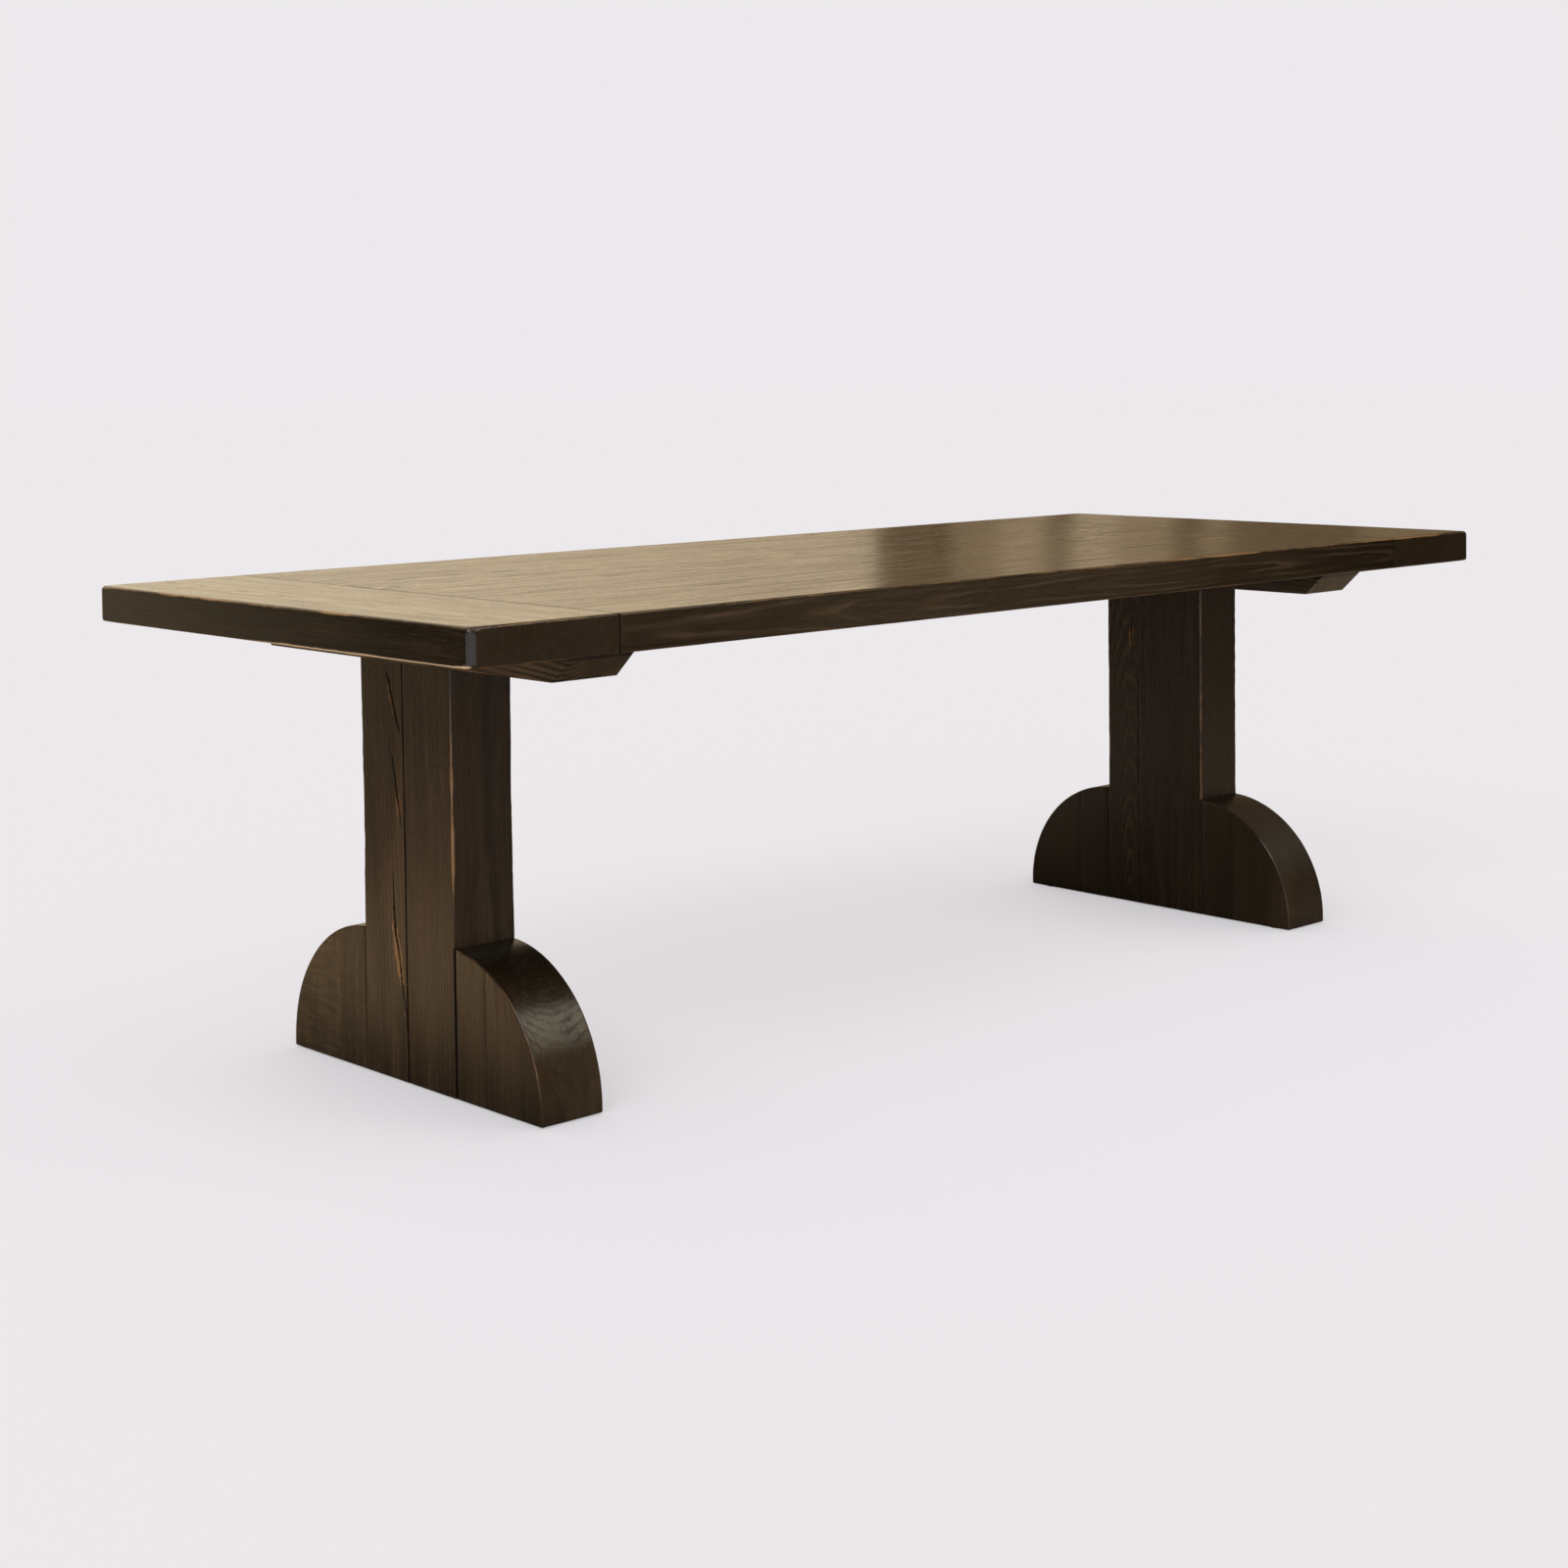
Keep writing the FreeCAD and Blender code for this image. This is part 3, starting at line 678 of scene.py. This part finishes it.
# How each part of the figure counts in the tone: reach, depth and what scales it. End grain is calmer
TONE = {"Cloud": (0.18, 0.5, "blotch"), "Streak": (0.18, 0.17, "lined"), "Fibre": (0.14, 0.2, "lined")}
PORE_DEPTH = 0.1
CALM_ENDS = 0.65

# What makes the wood rougher: streaks, pores and cuts. Cuts also lose their shine
ROUGH_STREAKS = (0.5, 0.66)
ROUGH_PORES, ROUGH_CUTS = 0.05, 0.6
SHINE, SHINE_LOST = 0.5, 0.44
DOWNWARD = (-0.9, -0.3)

# Fine relief of the wood, in millimetres, with what pores and rings take from it
RELIEF, RELIEF_PORES, RELIEF_RINGS = 0.12, 0.5, 0.6

# A batten's colour is painted dark as shadow above a line this far below the top, in millimetres, soft
# between the two
SHADOW_LINE = (18.5, 16)

# Between what marks wood turns rubbed, how much of that shows, how dark cuts are, and what mark is polished
RUBBED_BETWEEN, RUBBED_SHARE, CUT_DARK, POLISHED_AT = (0.45, 0.9), 0.9, 0.95, 0.5

# How oak looks where a board says nothing else. The pith's line and lean are in metres, the ring in
# millimetres. Faces scale the colour on each axis, for end grain and in places as painted shade, below
# roughens the underside, polish smooths worn wood
OAK = {"pith": (0.03, -0.1), "lean": (0, 0.03), "ring": 4.5, "rings": 0.2, "curl": 0, "tint": 1, "olive": 1,
       "rust": 0.5, "faces": (1, 1, 1), "gloss": 0.3, "below": 0, "polish": 0, "streaked": 0.05,
       "blotch": 0.4, "lined": 1, "flecked": 0, "barred": 0, "shaded": None, "painted_fade": None, "marked": True}


def attribute(tree, name):
    return add(tree, "ShaderNodeAttribute", attribute_name=name).outputs["Fac"]


def oak_tone(tree, grain, pores, at, facing, look):
    """How light the wood is, from 0 to 1, by its clouds, lines, rings, waves and pores."""
    tone = 0.5
    for name, (reach, depth, scale) in TONE.items():
        depth *= look[scale]
        tone = plus(tree, tone, ramp(tree, grain[name], 0.5 - reach, 0.5 + reach, -depth, depth))
    tone = times_plus(tree, grain["Rings"], -look["rings"], tone)
    if look["curl"]:
        waves = noise_node(tree, at, CURL, CURL_DETAIL)
        waves = ramp(tree, waves, 0.5 - CURL_REACH, 0.5 + CURL_REACH, -0.5, 0.5)
        tone = times_plus(tree, waves, look["curl"], tone)
    tone = times_plus(tree, pores, -PORE_DEPTH, tone)
    calm = times(tree, times(tree, facing, facing), CALM_ENDS)
    return times_plus(tree, calm, math_node(tree, "SUBTRACT", 0.5, tone), tone)


def oak_colour(tree, tone, rings, at, normal, coordinates, look):
    """The stain by the wood's tone, with rusty patches and the marks that the look asks for."""
    tint, olive = look["tint"], look["olive"]
    dark, middle, light = ((red * tint, green * tint * olive, blue * tint * olive, 1)
                           for red, green, blue in (DARK, MID, LIGHT))
    body = mix_colour(tree, ramp(tree, tone, 0.0, 0.5, smooth=False), dark, middle)
    body = mix_colour(tree, ramp(tree, tone, 0.5, 1.0, smooth=False), body, light)
    patches = noise_node(tree, at, RUSTY, RUSTY_DETAIL, RUSTY_ROUGH)
    rusty = ramp(tree, patches, RUSTY_FROM, RUSTY_TO, 0, look["rust"])
    body = mix_colour(tree, rusty, body, (*RUST, 1), "MULTIPLY")
    # Faces darken end grain, which takes up more stain, and in places paint shade on one side of a board
    squares = scaled(tree, normal, normal)
    soaked_and_shaded = vector_node(tree, "DOT_PRODUCT", squares, look["faces"])
    body = brighter(tree, body, soaked_and_shaded)
    if look["flecked"]:
        thin = times(tree, rings, rings)
        body = mix_colour(tree, times(tree, thin, look["flecked"]), body, (*FLECK, 1))
    if look["barred"]:
        bars = times(tree, rings, look["barred"], clamp=True)
        body = mix_colour(tree, bars, body, (*CUT, 1))
    # Painted shadow: a batten is coloured as dark as a cut above a line under the top
    if look["shaded"]:
        height = axes(tree, coordinates)[2]
        line = ramp(tree, height, *(look["shaded"] - drop * MM for drop in SHADOW_LINE))
        body = mix_colour(tree, line, body, (*CUT, 1))
    # Painted shade: the colour darkens along the table towards its right end
    if look["painted_fade"]:
        length = axes(tree, coordinates)[0]
        body = brighter(tree, body, ramp(tree, length, *look["painted_fade"]))
    return body


def oak_roughness(tree, grain, pores, normal, look):
    streaks = ramp(tree, grain["Streak"], *ROUGH_STREAKS, 0, look["streaked"])
    rough = plus(tree, streaks, times(tree, grain["Rings"], look["streaked"]))
    rough = plus(tree, times_plus(tree, pores, ROUGH_PORES, look["gloss"]), rough)
    if look["below"]:
        upward = axes(tree, normal)[2]
        rough = plus(tree, rough, ramp(tree, upward, *DOWNWARD, look["below"], 0))
    return rough


def mark_wear(tree, shader, body, rough, coordinates, polish):
    """Rubbed and split places by a board's marks, and a painted pale highlight. Cuts are dark, rough and
    nearly without shine.
    """
    worn, cut = attribute(tree, "wear"), attribute(tree, "split")
    patchy = noise_node(tree, coordinates, PATCHY, PATCHY_DETAIL, PATCHY_ROUGH)
    rubbed = times_plus(tree, math_node(tree, "SUBTRACT", patchy, 0.5), PATCHY_SHARP, worn)
    rubbed = times(tree, ramp(tree, rubbed, *RUBBED_BETWEEN), worn)
    body = mix_colour(tree, times(tree, rubbed, RUBBED_SHARE, clamp=True), body, (*WORN, 1))
    # A painted pale highlight where the board is marked for it
    body = mix_colour(tree, attribute(tree, "painted_highlight"), body, (*HIGHLIGHT_PALE, 1))
    body = mix_colour(tree, times(tree, cut, CUT_DARK), body, (*CUT, 1))
    shine = times_plus(tree, cut, -SHINE_LOST, SHINE)
    tree.links.new(shine, shader.inputs["Specular IOR Level"])
    rough = times_plus(tree, cut, ROUGH_CUTS, rough)
    if polish:
        rough = times(tree, rough, ramp(tree, worn, 0, POLISHED_AT, 1, 1 - polish))
    return body, rough


def oak(name, group, along, place, draw, **sawn):
    """Dark stained oak with its grain along one axis of the table. The draw picks the piece of noise."""
    look = {**OAK, **sawn}
    material, tree = new_material(name)
    shader = tree.nodes["Principled BSDF"]
    coordinates, normal = output(tree, "TexCoord", "Object"), output(tree, "NewGeometry", "Normal")
    turned = add(tree, "ShaderNodeVectorRotate",
                 {"Vector": coordinates, "Center": (0, 0, 0), "Rotation": ALONG[along]},
                 rotation_type="EULER_XYZ").outputs[0]
    local = vector_node(tree, "SUBTRACT", turned, place)
    shift = (DRAWS_APART[0] * draw, DRAWS_APART[1] * draw, 0)
    at = vector_node(tree, "ADD", local, shift)
    numbers = dict(zip(GRAIN_NUMBERS, (*look["pith"], *look["lean"], look["ring"] * MM)))
    grain = add(tree, "ShaderNodeGroup", {"At": local, "Draw": shift, **numbers}, node_tree=group).outputs
    facing = vector_node(tree, "DOT_PRODUCT", normal, AXES["xyz".index(along)])
    pores = ramp(tree, grain["Pore"], *PORES)
    tone = oak_tone(tree, grain, pores, at, facing, look)
    body = oak_colour(tree, tone, grain["Rings"], at, normal, coordinates, look)
    rough = oak_roughness(tree, grain, pores, normal, look)
    if look["marked"]:
        body, rough = mark_wear(tree, shader, body, rough, coordinates, look["polish"])
    tree.links.new(body, shader.inputs["Base Color"])
    tree.links.new(rough, shader.inputs["Roughness"])
    height = times_plus(tree, pores, -RELIEF_PORES, grain["Fibre"])
    height = times_plus(tree, grain["Rings"], -RELIEF_RINGS, height)
    bump = add(tree, "ShaderNodeBump", {"Strength": 1.0, "Distance": RELIEF * MM, "Height": height})
    tree.links.new(bump.outputs[0], shader.inputs["Normal"])
    return material


# How each upright board was sawn. The right pedestal's lower tints are partly its boards' own tone and
# partly painted shade, for the shade it stands in under the top
POST_OAK = {"gloss": 0.26, "faces": (1, 1, 0.3)}
EAR_OAK = {"ring": 6, "rings": 0.1, "olive": 1.05, "faces": (1, 1, 0.3), "polish": 0.6}
UPRIGHTS = {"post_left": POST_OAK, "post_right": {**POST_OAK, "ring": 7, "rings": 0.15, "lined": 0.5},
            "ear_left": EAR_OAK, "ear_right": {**EAR_OAK, "tint": 0.47, "lined": 0.35}}
SAWN = {
    "post_near_left": {"pith": (0.25, 0.02), "lean": (0.004, 0), "ring": 7.5, "rings": 0.5, "lined": 0.8,
                       "blotch": 0.3, "tint": 0.74, "rust": 0.8},
    "post_far_left": {"pith": (-0.09, -0.02), "ring": 8, "rings": 0.4, "lined": 0.8, "blotch": 0.7,
                      "tint": 0.84},
    # The near left ears darken their upward end grain further, partly as painted shade under the top
    "ear_inner_near_left": {"pith": (0.1, -0.12), "tint": 0.7, "faces": (1, 1, 0.1), "gloss": 0.21},
    "ear_outer_near_left": {"pith": (0.07, -0.02), "lean": (0, 0), "ring": 9, "rings": 0.25, "tint": 0.66,
                            "lined": 0.45, "rust": 0.8, "faces": (1, 1.5, 0.1), "gloss": 0.21,
                            "streaked": 0.12},
    "ear_inner_far_left": {"pith": (0.16, -0.1), "curl": 0.2, "tint": 0.92},
    "ear_outer_far_left": {"pith": (-0.12, -0.1), "curl": 0.4, "tint": 1.25, "lined": 0.7},
    "post_near_right": {"pith": (0, -0.2), "lean": (0, 0.005), "tint": 0.42, "flecked": 0.08},
    "post_far_right": {"pith": (-0.017, 0.0582), "lean": (0, -0.12), "tint": 0.39, "flecked": 0.2},
    "ear_inner_near_right": {"pith": (0.2, -0.08)},
    "ear_outer_near_right": {"pith": (-0.15, -0.08), "curl": 0.15, "tint": 0.55},
    "ear_inner_far_right": {"pith": (0.1, -0.09)},
    "ear_outer_far_right": {"pith": (-0.1, -0.12)},
}

# How each plank was sawn, near side first: the nearest shows pointed figure on the table's long edge
TOP_OAK = {"rings": 0.3, "tint": 0.7, "gloss": 0.1, "below": 0.4, "streaked": 0.16, "faces": (0.3, 1, 1)}
PLANKS = (
    # The nearest plank's fade darkens it towards the table's right end as painted shade
    {"pith": (-0.081, -0.030), "lean": (-0.03, 0), "ring": 9, "rings": 0, "tint": 0.54, "blotch": 0.25,
     "lined": 0.8, "flecked": 0.25, "painted_fade": (0.3, 0.95, 1.0, 0.5)},
    {"pith": (-0.03, -0.06), "lean": (0, -0.03)},
    {"pith": (0.04, 0.11)},
    {"pith": (0.0, -0.12), "lean": (0, -0.03)},
    {"pith": (-0.05, 0.08)},
    {"pith": (0.03, -0.07), "lean": (0, -0.03)},
)

# The other oak
BREADBOARD_OAK = {"rings": 0.1, "gloss": 0.1, "below": 0.4, "streaked": 0.1, "faces": (1, 2.5, 3.4)}
BREADBOARDS = {"left": {"tint": 0.2}, "right": {"tint": 0.16}}
BATTEN_OAK = {"pith": (0.05, 0.09), "lean": (0, 0.06), "ring": 9, "rings": 1, "olive": 1.1, "rust": 0.2,
              "barred": 1.5, "gloss": 0.35, "shaded": TOP_LOW, "marked": False}
# The right batten's faces darken its sides towards the table's ends as painted shade
BATTENS = {"left": {"tint": 2.0}, "right": {"tint": 2.9, "faces": (0.4, 1, 1)}}
JOINERY_OAK = {"ring": 3, "tint": 4, "gloss": 0.6, "marked": False}

# Metal and plastic: colour, roughness and how metallic each is, with how dull and rough the mottles make it
FITTINGS = {"zinc_steel": ((0.55, 0.56, 0.58), 0.35, 1.0), "insert_metal": ((0.62, 0.46, 0.2), 0.3, 1.0),
            "glide_nylon": ((0.02, 0.018, 0.016), 0.5, 0.0)}
MOTTLE, MOTTLE_DETAIL, MOTTLE_DULL, MOTTLE_ROUGH = (400, 400, 400), 3, 0.75, 0.16


def centre(node):
    """The middle of a board in plan."""
    low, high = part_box(node)
    return (low.x + high.x) / 2, (low.y + high.y) / 2


def make_materials():
    """One oak material for each board, with its own place in the tree, and one for each other slot."""
    group = grain_group()
    made = {}
    draws = itertools.count(FIRST_DRAW)
    for node, sawn in zip(TOP_NODES, PLANKS):
        place = (0, centre(node)[1], TOP_HIGH)
        made[node] = oak(node, group, "x", place, next(draws), **{**TOP_OAK, **sawn})
    for side, sawn in BREADBOARDS.items():
        node = f"breadboard_{side}"
        place = (0, -centre(node)[0], TOP_HIGH)
        made[node] = oak(node, group, "y", place, next(draws), **BREADBOARD_OAK, **sawn)
    for node, sawn in SAWN.items():
        x, y = centre(node)
        kind, *_, side = node.split("_")
        sawn = {**UPRIGHTS[f"{kind}_{side}"], **sawn}
        made[node] = oak(node, group, "z", (0, y, -x), next(draws), **sawn)
    for side, sawn in BATTENS.items():
        node = f"batten_{side}"
        place = (0, -centre(node)[0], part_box(node)[0].z)
        made[node] = oak(node, group, "y", place, next(draws), **BATTEN_OAK, **sawn)
    made["oak_joinery"] = oak("bare_oak", group, "x", (0, 0, 0), next(draws), **JOINERY_OAK)
    for slot, fitting in FITTINGS.items():
        made[slot] = plain(slot, *fitting)
    return made


def plain(name, colour, gloss, metal):
    """Metal or plastic with a faintly uneven surface."""
    material, tree = new_material(name)
    shader = tree.nodes["Principled BSDF"]
    shader.inputs["Metallic"].default_value = metal
    at = output(tree, "TexCoord", "Object")
    mottle = noise_node(tree, at, MOTTLE, MOTTLE_DETAIL)
    dull = [MOTTLE_DULL * value for value in colour]
    rough = times_plus(tree, mottle, MOTTLE_ROUGH, gloss - 0.5 * MOTTLE_ROUGH)
    tree.links.new(mix_colour(tree, mottle, (*colour, 1), (*dull, 1)), shader.inputs["Base Color"])
    tree.links.new(rough, shader.inputs["Roughness"])
    return material


def dress_cad_nodes(materials):
    """Materials for the fixings, joinery and battens that keep their CAD shape."""
    for entry in frame["record"]["subparts"]:
        node = frame["nodes"][entry["node"]]
        if node.hide_render:
            continue
        material = materials.get(entry["node"]) or materials[entry["material_slot"]]
        if not node.material_slots:
            node.data.materials.append(material)
        for slot in node.material_slots:
            slot.material = material


# Camera, floor and light

CAMERA_PLACE = Vector((-3.2071, -3.2659, 1.1051))
CAMERA_YAW, CAMERA_PITCH, CAMERA_ROLL = (math.radians(angle) for angle in (43.0, 2.581, 0.661))
SENSOR_WIDTH = 36
PHOTO_SIDE = 1600
FOCAL_PIXELS = 2631.8
HORIZON_SHIFT_PIXELS = 312.05


def make_camera():
    data = bpy.data.cameras.new("camera")
    data.sensor_width = SENSOR_WIDTH
    data.lens = FOCAL_PIXELS / PHOTO_SIDE * data.sensor_width
    data.shift_y = -HORIZON_SHIFT_PIXELS / PHOTO_SIDE
    camera = in_scene("camera", data)
    turn = (Matrix.Rotation(-CAMERA_YAW, 4, "Z") @ Matrix.Rotation(math.pi / 2 - CAMERA_PITCH, 4, "X")
            @ Matrix.Rotation(-CAMERA_ROLL, 4, "Z"))
    camera.matrix_world = Matrix.Translation(CAMERA_PLACE) @ turn
    bpy.context.scene.camera = camera


# The floor as the camera sees it: the backdrop's tone, its glow, how much of that is left in contact as
# painted contact shade, how far off that starts, and what it takes from the light
BACKDROP = (0.838, 0.815, 0.838)
FLOOR_GLOW, FLOOR_CONTACT, CONTACT_REACH = 0.81, 0.58, 0.4
FLOOR_SOFT = (0.173, 0.181, 0.212)

# The floor as the table reflects it, in metres: its tones at the left, at the right, a painted pool of light
# on it and a painted lighter stretch beyond the table, and where it ends. Painted contact shade turns it
# black
FLOOR_SIDE = 60
FLOOR_REACH, FLOOR_FADE = 3.2, 1.5
FLOOR_LEFT_TONE, FLOOR_RIGHT_TONE, FLOOR_RIGHT = (0.21, 0.185, 0.155), (0.30, 0.26, 0.215), (-0.6, 0.2)
FLOOR_LIT_TONE, FLOOR_LIT_SIDE = (0.95, 0.72, 0.48), (-1.35, -1.0)
FLOOR_LIT_MIDDLE, FLOOR_LIT_FADE = (-1.5, 0.1, 0), (0.9, 1.5)
FLOOR_BEYOND_TONE, FLOOR_BEYOND, BEYOND_SLANT, BEYOND_LEFT = (0.9, 0.8, 0.65), (0.85, 1.2), 0.3, (-1.0, -0.7)
BLACK_CONTACT = 0.95


def reflected_floor(tree, contact):
    """The tone of the floor as the table reflects it, and how much reflections pass it, from 0 to 1."""
    at = output(tree, "TexCoord", "Object")
    x, y = axes(tree, at)[:2]
    tone = mix_colour(tree, ramp(tree, x, *FLOOR_RIGHT), (*FLOOR_LEFT_TONE, 1), (*FLOOR_RIGHT_TONE, 1))
    # A painted pool of light on the floor at the left end, and a painted lighter stretch beyond the table
    spread = vector_node(tree, "DISTANCE", at, FLOOR_LIT_MIDDLE)
    share = times(tree, ramp(tree, x, *FLOOR_LIT_SIDE, 1, 0), ramp(tree, spread, *FLOOR_LIT_FADE, 1, 0))
    tone = mix_colour(tree, share, tone, (*FLOOR_LIT_TONE, 1))
    slanted = times_plus(tree, x, BEYOND_SLANT, y)
    share = times(tree, ramp(tree, slanted, *FLOOR_BEYOND), ramp(tree, x, *BEYOND_LEFT))
    tone = mix_colour(tree, share, tone, (*FLOOR_BEYOND_TONE, 1))
    # Painted contact shade: the reflected floor turns black near the feet
    tone = mix_colour(tree, ramp(tree, contact, 0, BLACK_CONTACT), (0, 0, 0, 1), tone)
    away = vector_node(tree, "LENGTH", at)
    return tone, ramp(tree, away, FLOOR_REACH, FLOOR_REACH + FLOOR_FADE)


def make_floor():
    """A pale floor, with the backdrop's tone and soft shadows to the camera, partly painted into its glow.
    Far off, reflections pass it.
    """
    mesh = bpy.data.meshes.new("floor")
    corners = [(x * FLOOR_SIDE, y * FLOOR_SIDE, 0) for x, y in ((-1, -1), (1, -1), (1, 1), (-1, 1))]
    mesh.from_pydata(corners, [], [(0, 1, 2, 3)])
    material, tree = new_material("pale_floor")
    tree.nodes.clear()
    contact = add(tree, "ShaderNodeAmbientOcclusion", {"Distance": CONTACT_REACH}, samples=8).outputs["AO"]
    # Painted contact shade: the glow dims where the floor is occluded near the feet
    shade = times_plus(tree, contact, 1 - FLOOR_CONTACT, FLOOR_CONTACT)
    strength = times(tree, shade, FLOOR_GLOW)
    glow = add(tree, "ShaderNodeEmission", {"Color": (*BACKDROP, 1), "Strength": strength}).outputs[0]
    matt = add(tree, "ShaderNodeBsdfDiffuse", {"Color": (*FLOOR_SOFT, 1)}).outputs[0]
    to_camera = add(tree, "ShaderNodeAddShader", {0: glow, 1: matt}).outputs[0]
    tone, far = reflected_floor(tree, contact)
    dull = add(tree, "ShaderNodeBsdfDiffuse", {"Color": tone}).outputs[0]
    clear = add(tree, "ShaderNodeBsdfTransparent").outputs[0]
    to_table = add(tree, "ShaderNodeMixShader", {0: far, 1: dull, 2: clear}).outputs[0]
    seen = output(tree, "LightPath", "Is Camera Ray")
    both = add(tree, "ShaderNodeMixShader", {0: seen, 1: to_table, 2: to_camera}).outputs[0]
    add(tree, "ShaderNodeOutputMaterial", {"Surface": both})
    mesh.materials.append(material)
    in_scene("floor", mesh)


# What stands around the table, as degrees clockwise from +Y and how light it is: a warm wall beyond it and a
# pale room behind the camera
GREY, PALE, WHITE = (0.2, 0.2, 0.2), (0.75, 0.75, 0.8), (1.05, 1.05, 1.22)
ROOM = ((-180, GREY), (-150, PALE), (-125, PALE), (-110, (0.3, 0.3, 0.3)), (-90, 0.15), (-60, 0.05),
        (-44, 0.07), (-36, 0.12), (-32, 0.26), (-26, 0.46), (0, 0.8), (27, 0.81), (38, 0.68), (58, 0.1),
        (100, 0.05), (124, 0.05), (134, 0.26), (143, 0.12), (180, GREY))

# Upright panels to the right of the wall: where each begins, in degrees, and how light it is
PANELS = ((45.05, 0.1), (46.0, 0.13), (46.3, 0.075), (46.7, 0.25), (47.8, 0.39), (48.8, 0.16), (49.4, 0.46),
          (50.3, 0.32), (51.6, 0.135), (52.2, 0.29), (52.8, 0.15), (55.6, 0.24), (57.4, 0.15))
WALL_ENDS = ((38, 0.68), (42, 0.6))
PANELS_END = (58, 0.1)
PANEL_EDGE = 0.08

# What lies low beyond the floor's lit part
FAR_FLOOR = ((-180, WHITE), (-75, WHITE), (-64, 0.25), (-52, 0.08), (-44, 0.26), (-38.5, 0.17),
             (-36, 0.05), (-28, 0.54), (0, 0.7), (45, 0.5), (60, 0.06), (124, 0.04), (131, 0.3),
             (134.5, 0.6), (139, 0.13), (153, 0.34), (159, WHITE), (180, WHITE))
OVERHEAD = (0.95, 0.92, 0.88)

# How the walls change with the sine of the height: lighter in a first stretch, darker in a second. They give
# way to the floor below and the light overhead
WALL_RISE, WALL_RISE_LIGHT = (0.06, 0.10), (0.76, 1.62)
WALL_DIM, WALL_DIM_LIGHT = (0.15, 0.30), (1.0, 0.8)
WALL_FOOT = (-0.02, 0.0)
WALL_TOP = (0.78, 0.93)

# Green and blue of the room's light: a share of red where that is 1, and the power they fall by
WARMTH = ((0.84, 1.12), (0.6, 1.3))

# Softboxes: where each begins and ends around, the sines of its lowest and highest height, how much lower it
# gets for each degree before its end, and its light
SOFTBOXES = ((115, 146, 0.37, 0.78, 0.0082, (3.0, 2.7, 2.1)), (-130, -97, 0.43, 0.84, 0, (7.0, 6.6, 6.0)),
             (46, 108, 0.47, 0.72, 0, (0.34, 0.23, 0.15)))
BOX_BLUR, BOX_BLUR_UP = 3, 0.05


def warm(light):
    """The colour of the room's light, which is deeper where it is dim."""
    return (light, *(share * light ** power for share, power in WARMTH))


def panel_stops():
    """Stops along the wall's end and the panels beyond it, each panel even between its narrow edges."""
    stops = list(WALL_ENDS)
    before = WALL_ENDS[-1][1]
    for begin, light in PANELS:
        stops += [(begin - PANEL_EDGE, before), (begin + PANEL_EDGE, light)]
        before = light
    return stops + [PANELS_END]


def stepped(tree, place, stops):
    """A colour ramp through stops, each a place and a tone or how light the room is there."""
    made = add(tree, "ShaderNodeValToRGB", {0: place})
    elements = made.color_ramp.elements
    while len(elements) < len(stops):
        elements.new(0.5)
    for element, (at, tone) in zip(elements, stops):
        element.position = at
        element.color = (*(tone if isinstance(tone, tuple) else warm(tone)), 1)
    return made.outputs[0]


def softbox(tree, turn, height, first, last, low, top, slant):
    """How much of a softbox is in each direction. Turn is a share of the full circle."""
    box = times(tree, ramp(tree, turn, first / 360, (first + BOX_BLUR) / 360),
                ramp(tree, turn, (last - BOX_BLUR) / 360, last / 360, 1, 0))
    short = math_node(tree, "SUBTRACT", turn, last / 360)
    sine = times_plus(tree, short, slant * 360, height)
    box = times(tree, box, ramp(tree, sine, low, low + BOX_BLUR_UP))
    return times(tree, box, ramp(tree, sine, top - BOX_BLUR_UP, top, 1, 0))


def make_world():
    """An even backdrop for the camera, and the room, overhead light and softboxes for everything else."""
    world = bpy.data.worlds.new("studio")
    bpy.context.scene.world = world
    world.use_nodes = True
    tree = world.node_tree
    tree.nodes.clear()
    at = output(tree, "TexCoord", "Generated")
    x, y, height = axes(tree, at)
    turn = math_node(tree, "DIVIDE", math_node(tree, "ARCTAN2", x, y), 2 * math.pi)
    whole = plus(tree, turn, 0.5)
    around, low = (stepped(tree, whole, [(degrees / 360 + 0.5, tone) for degrees, tone in stops])
                   for stops in (ROOM, FAR_FLOOR))
    panels = panel_stops()
    first, last = panels[0][0], panels[-1][0]
    share = ramp(tree, turn, first / 360, last / 360, smooth=False)
    fine = stepped(tree, share, [((degrees - first) / (last - first), light) for degrees, light in panels])
    beside = times(tree, math_node(tree, "GREATER_THAN", turn, first / 360),
                   math_node(tree, "LESS_THAN", turn, last / 360))
    around = mix_colour(tree, beside, around, fine)
    rising = times(tree, ramp(tree, height, *WALL_RISE, *WALL_RISE_LIGHT, smooth=False),
                   ramp(tree, height, *WALL_DIM, *WALL_DIM_LIGHT))
    lit = mix_colour(tree, ramp(tree, height, *WALL_FOOT), low, brighter(tree, around, rising))
    lit = mix_colour(tree, ramp(tree, height, *WALL_TOP), lit, (*OVERHEAD, 1))
    for *shape, tone in SOFTBOXES:
        lit = mix_colour(tree, softbox(tree, turn, height, *shape), lit, (*tone, 1))
    seen = output(tree, "LightPath", "Is Camera Ray")
    colour = mix_colour(tree, seen, lit, (*BACKDROP, 1))
    light = add(tree, "ShaderNodeBackground", {"Color": colour, "Strength": 1.0}).outputs[0]
    add(tree, "ShaderNodeOutputWorld", {"Surface": light})


bpy.context.scene.view_settings.view_transform = "Standard"
make_camera()
make_floor()
make_world()
finishes = make_materials()
make_planks(finishes)
make_breadboards(finishes)
for pedestal in map(Pedestal, SIDES):
    make_posts(pedestal, finishes)
    make_ears(pedestal, finishes)
dress_cad_nodes(finishes)
